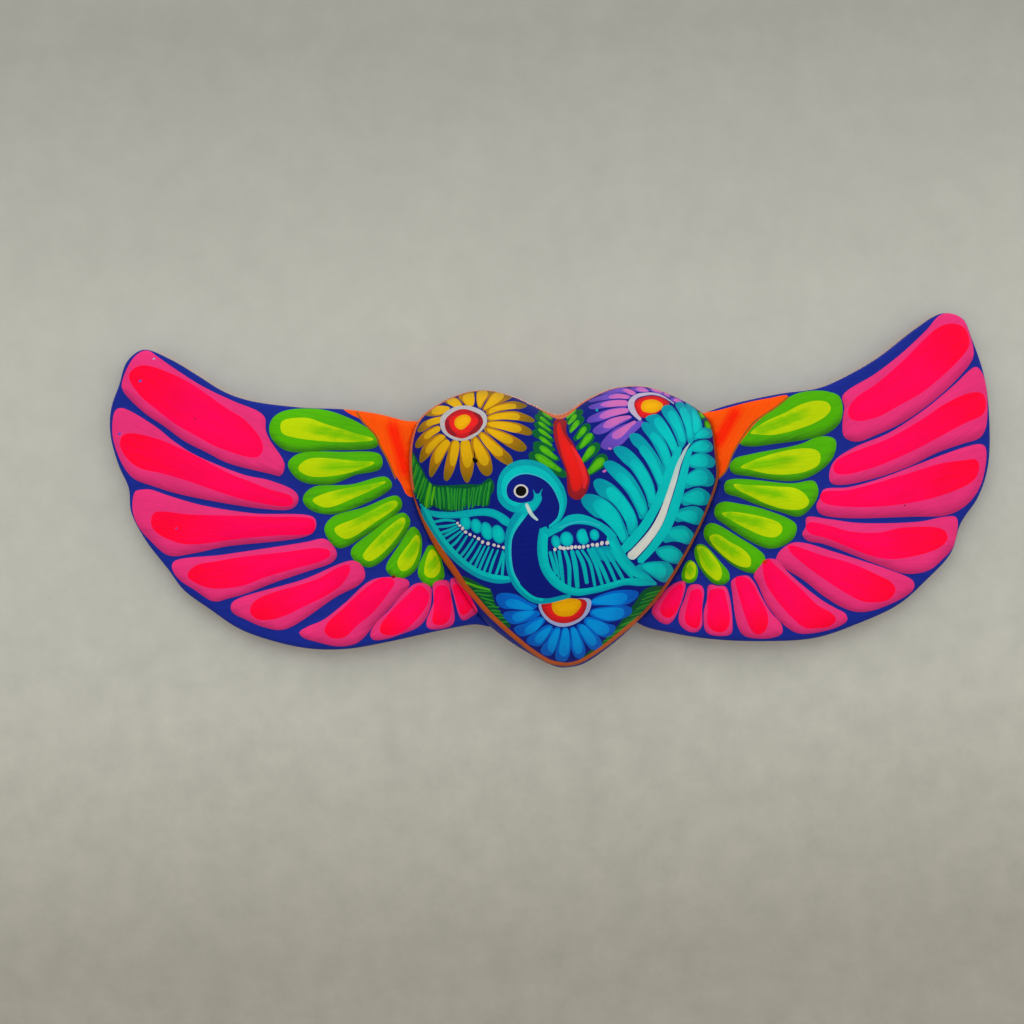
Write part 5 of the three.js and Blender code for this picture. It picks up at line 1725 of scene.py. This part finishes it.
def make_wire():
    """A loop through the lug's tunnel, whose two ends are twisted together."""
    tunnel = np.array(frame["joints"][0]["pos_m"]) / MM
    drop = -tunnel[2]
    mouth = LUG_WIDTH / 2 + FIT
    shoulder = mouth + WIRE_SHOULDER

    def strand(side):
        turns = np.linspace(0, TWIST_TURNS, TWIST_TURNS * TWIST_CUTS + 1)
        angle = 2 * math.pi * turns + (0 if side > 0 else math.pi)
        radius = (WIRE_DIAMETER + TWIST_CLEARANCE) / 2
        return np.column_stack([radius * np.cos(angle), radius * np.sin(angle),
                                WIRE_DIAMETER + turns * TWIST_PITCH])

    def leg(side):
        slope = [(side * shoulder * out, 0, -drop * down) for out, down in LEG_FORM]
        bend = [(side * shoulder, 0, -drop + WIRE_SHOULDER * 0.7),
                (side * (shoulder - WIRE_SHOULDER * 0.3), 0, -drop + WIRE_SHOULDER * 0.2),
                (side * (mouth + WIRE_SHOULDER * 0.1), 0, -drop)]
        return slope + bend

    knots = [*strand(-1)[::-1], *leg(-1), (0, 0, -drop), *leg(1)[::-1], *strand(1)]
    path = smooth(knots, WIRE_STEP, closed=False)
    path[:, 2] += drop
    lean = np.array(Matrix.Rotation(WIRE_LEAN, 3, "X"))
    path = path @ lean.T + tunnel
    return tube("hanger_wire_bent", path, WIRE_DIAMETER / 2, WIRE_SIDES)


def dress(piece, body, materials, node):
    """Gives a piece its materials, attaches it to the body it rides on and hides the solid it
    stands for.
    """
    for material in materials:
        piece.data.materials.append(material)
    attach(piece, body)
    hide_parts(node)


dress(make_heart(), "ornament", [PAINT, CLAY], "heart_front_shell")
for side, node, outline, feathers, shoulder in (
        (-1, "left_wing", LEFT_WING_OUTLINE, (LEFT_PINK, LEFT_GREEN),
         (LEFT_SHOULDER, LEFT_STREAK, LEFT_BROWN, LEFT_SPOTS)),
        (1, "right_wing", RIGHT_WING_OUTLINE, (RIGHT_PINK, RIGHT_GREEN),
         (RIGHT_SHOULDER, RIGHT_STREAK, RIGHT_BROWN, RIGHT_SPOTS))):
    wing = make_wing(side, node, outline, feathers, shoulder)
    dress(wing, "ornament", [PAINT, CLAY], node)
for side, node in ((-1, "left_wing_luting_coil"), (1, "right_wing_luting_coil")):
    dress(make_coil(side, node), "ornament", [COIL_CLAY], node)
dress(make_wire(), "hanger", [WIRE], "hanger_wire")
for node in ("heart_back_plate", "hanger_lug"):
    frame["nodes"][node].data.materials.clear()
    frame["nodes"][node].data.materials.append(CLAY)


# The wall, the floor, the light and the camera
WALL_COLOUR = (181, 181, 172)
WALL_WARM = (181, 177, 164)
BACKGROUND = (178, 176, 165)
FLOOR_COLOUR = (188, 186, 178)


def wall_tone(nodes, spot):
    """The wall's colour with painted light: lightest behind the heart's height, dimmer above and
    below it as painted light falling off, and warmer below.
    """
    height = nodes.add("ShaderNodeSeparateXYZ", Vector=spot).outputs["Z"]
    # Painted light fall-off: brightness drops above and below the heart's height
    fall = maths(nodes, "MINIMUM", ranged(nodes, height, 0.06, 0.175, 1.0, 0.72),
                 ranged(nodes, height, -0.09, -0.19, 1.0, 0.71))
    warm = ranged(nodes, height, -0.02, -0.2, 0.0, 1.0)
    marks = ranged(nodes, noise(nodes, spot, 80.0, 9.0, 0.65), 0.3, 0.7, -1.0, 1.0)
    strength = ranged(nodes, height, 0.03, -0.1, 0.04, 0.075)
    marked = maths(nodes, "ADD", maths(nodes, "MULTIPLY", marks, strength), 1.0)
    marks_and_painted_falloff = maths(nodes, "MULTIPLY", fall, marked)
    return mixed(nodes, warm, rgba(WALL_COLOUR), rgba(WALL_WARM)), marks_and_painted_falloff


def floor_tone(nodes, spot):
    return rgba(FLOOR_COLOUR), 1.0


def stage_sheet(name, corners, tone_at, one_sided=False):
    """A plain sheet with a mottled colour, dimmed by any painted light fall-off its tone gives. A
    one-sided one is clear from behind.
    """
    sheet = new_piece(name, corners, [(0, 1, 2, 3)])
    material, nodes, spot = new_material(name)
    mottle = ranged(nodes, noise(nodes, spot, 18.0, 5.0), 0.3, 0.7, 0.975, 1.02)
    tone, fall = tone_at(nodes, spot)
    # On the wall, fall is painted light fall-off; on the floor it is 1
    tone = shaded(nodes, tone, maths(nodes, "MULTIPLY", mottle, fall))
    shader = nodes.add("ShaderNodeBsdfPrincipled", Base_Color=tone, Roughness=0.9)
    front = shader.outputs[0]
    if one_sided:
        clear = nodes.add("ShaderNodeBsdfTransparent")
        behind = nodes.add("ShaderNodeNewGeometry").outputs["Backfacing"]
        front = nodes.add("ShaderNodeMixShader", i0=behind, i1=front,
                          i2=clear.outputs[0]).outputs[0]
        sheet.visible_shadow = False
        sheet.visible_diffuse = False
        sheet.visible_glossy = False
    nodes.add("ShaderNodeOutputMaterial", Surface=front)
    sheet.data.materials.append(material)


WALL_GAP = 0.0003
WALL_HALF = 3
WALL_TOP = 2.5
FLOOR_HALF = 4
FLOOR_HEIGHT = -1.2
stage_sheet("wall", [(-WALL_HALF, WALL_GAP, FLOOR_HEIGHT), (WALL_HALF, WALL_GAP, FLOOR_HEIGHT),
                     (WALL_HALF, WALL_GAP, WALL_TOP), (-WALL_HALF, WALL_GAP, WALL_TOP)],
            wall_tone, one_sided=True)
stage_sheet("floor", [(x * FLOOR_HALF, y * FLOOR_HALF, FLOOR_HEIGHT)
                      for x, y in ((-1, -1), (1, -1), (1, 1), (-1, 1))], floor_tone)


def add_lamp(name, place, size, power):
    """A round lamp that shines at the middle of the object."""
    lamp = bpy.data.lights.new(name, "AREA")
    lamp.shape = "DISK"
    lamp.size = size
    lamp.energy = power
    holder = bpy.data.objects.new(name, lamp)
    bpy.context.collection.objects.link(holder)
    holder.location = place
    holder.rotation_euler = (-Vector(place)).to_track_quat("-Z", "Y").to_euler()


add_lamp("key", (-0.35, -1.45, 1.2), 1.6, 7.5)
add_lamp("fill", (1.3, -1.4, 0.2), 1.4, 3)
add_lamp("rear", (0.2, 1.9, 0.1), 0.8, 12)

world = bpy.data.worlds.new("studio")
bpy.context.scene.world = world
nodes = Nodes(world)
path = nodes.add("ShaderNodeLightPath")
seen = maths(nodes, "MAXIMUM", path.outputs["Is Camera Ray"],
             maths(nodes, "MAXIMUM", path.outputs["Is Glossy Ray"],
                   path.outputs["Is Transmission Ray"]))
light = nodes.add("ShaderNodeBackground", Color=(1.0, 1.0, 0.99, 1), Strength=1.0)
pale = nodes.add("ShaderNodeBackground", Color=rgba(BACKGROUND), Strength=1.0)
both = nodes.add("ShaderNodeMixShader", i0=seen, i1=light.outputs[0], i2=pale.outputs[0])
nodes.add("ShaderNodeOutputWorld", Surface=both.outputs[0])

camera = bpy.data.objects.new("camera", bpy.data.cameras.new("camera"))
bpy.context.collection.objects.link(camera)
camera.data.lens = 50
camera.data.sensor_width = 36
camera.data.clip_start = 0.01
camera.location = VIEWPOINT * MM
camera.rotation_euler = (Matrix.Rotation(math.pi / 2, 3, "X")
                         @ Matrix.Rotation(VIEW_ROLL, 3, "Z")).to_euler()
bpy.context.scene.camera = camera
bpy.context.scene.view_settings.view_transform = "Standard"
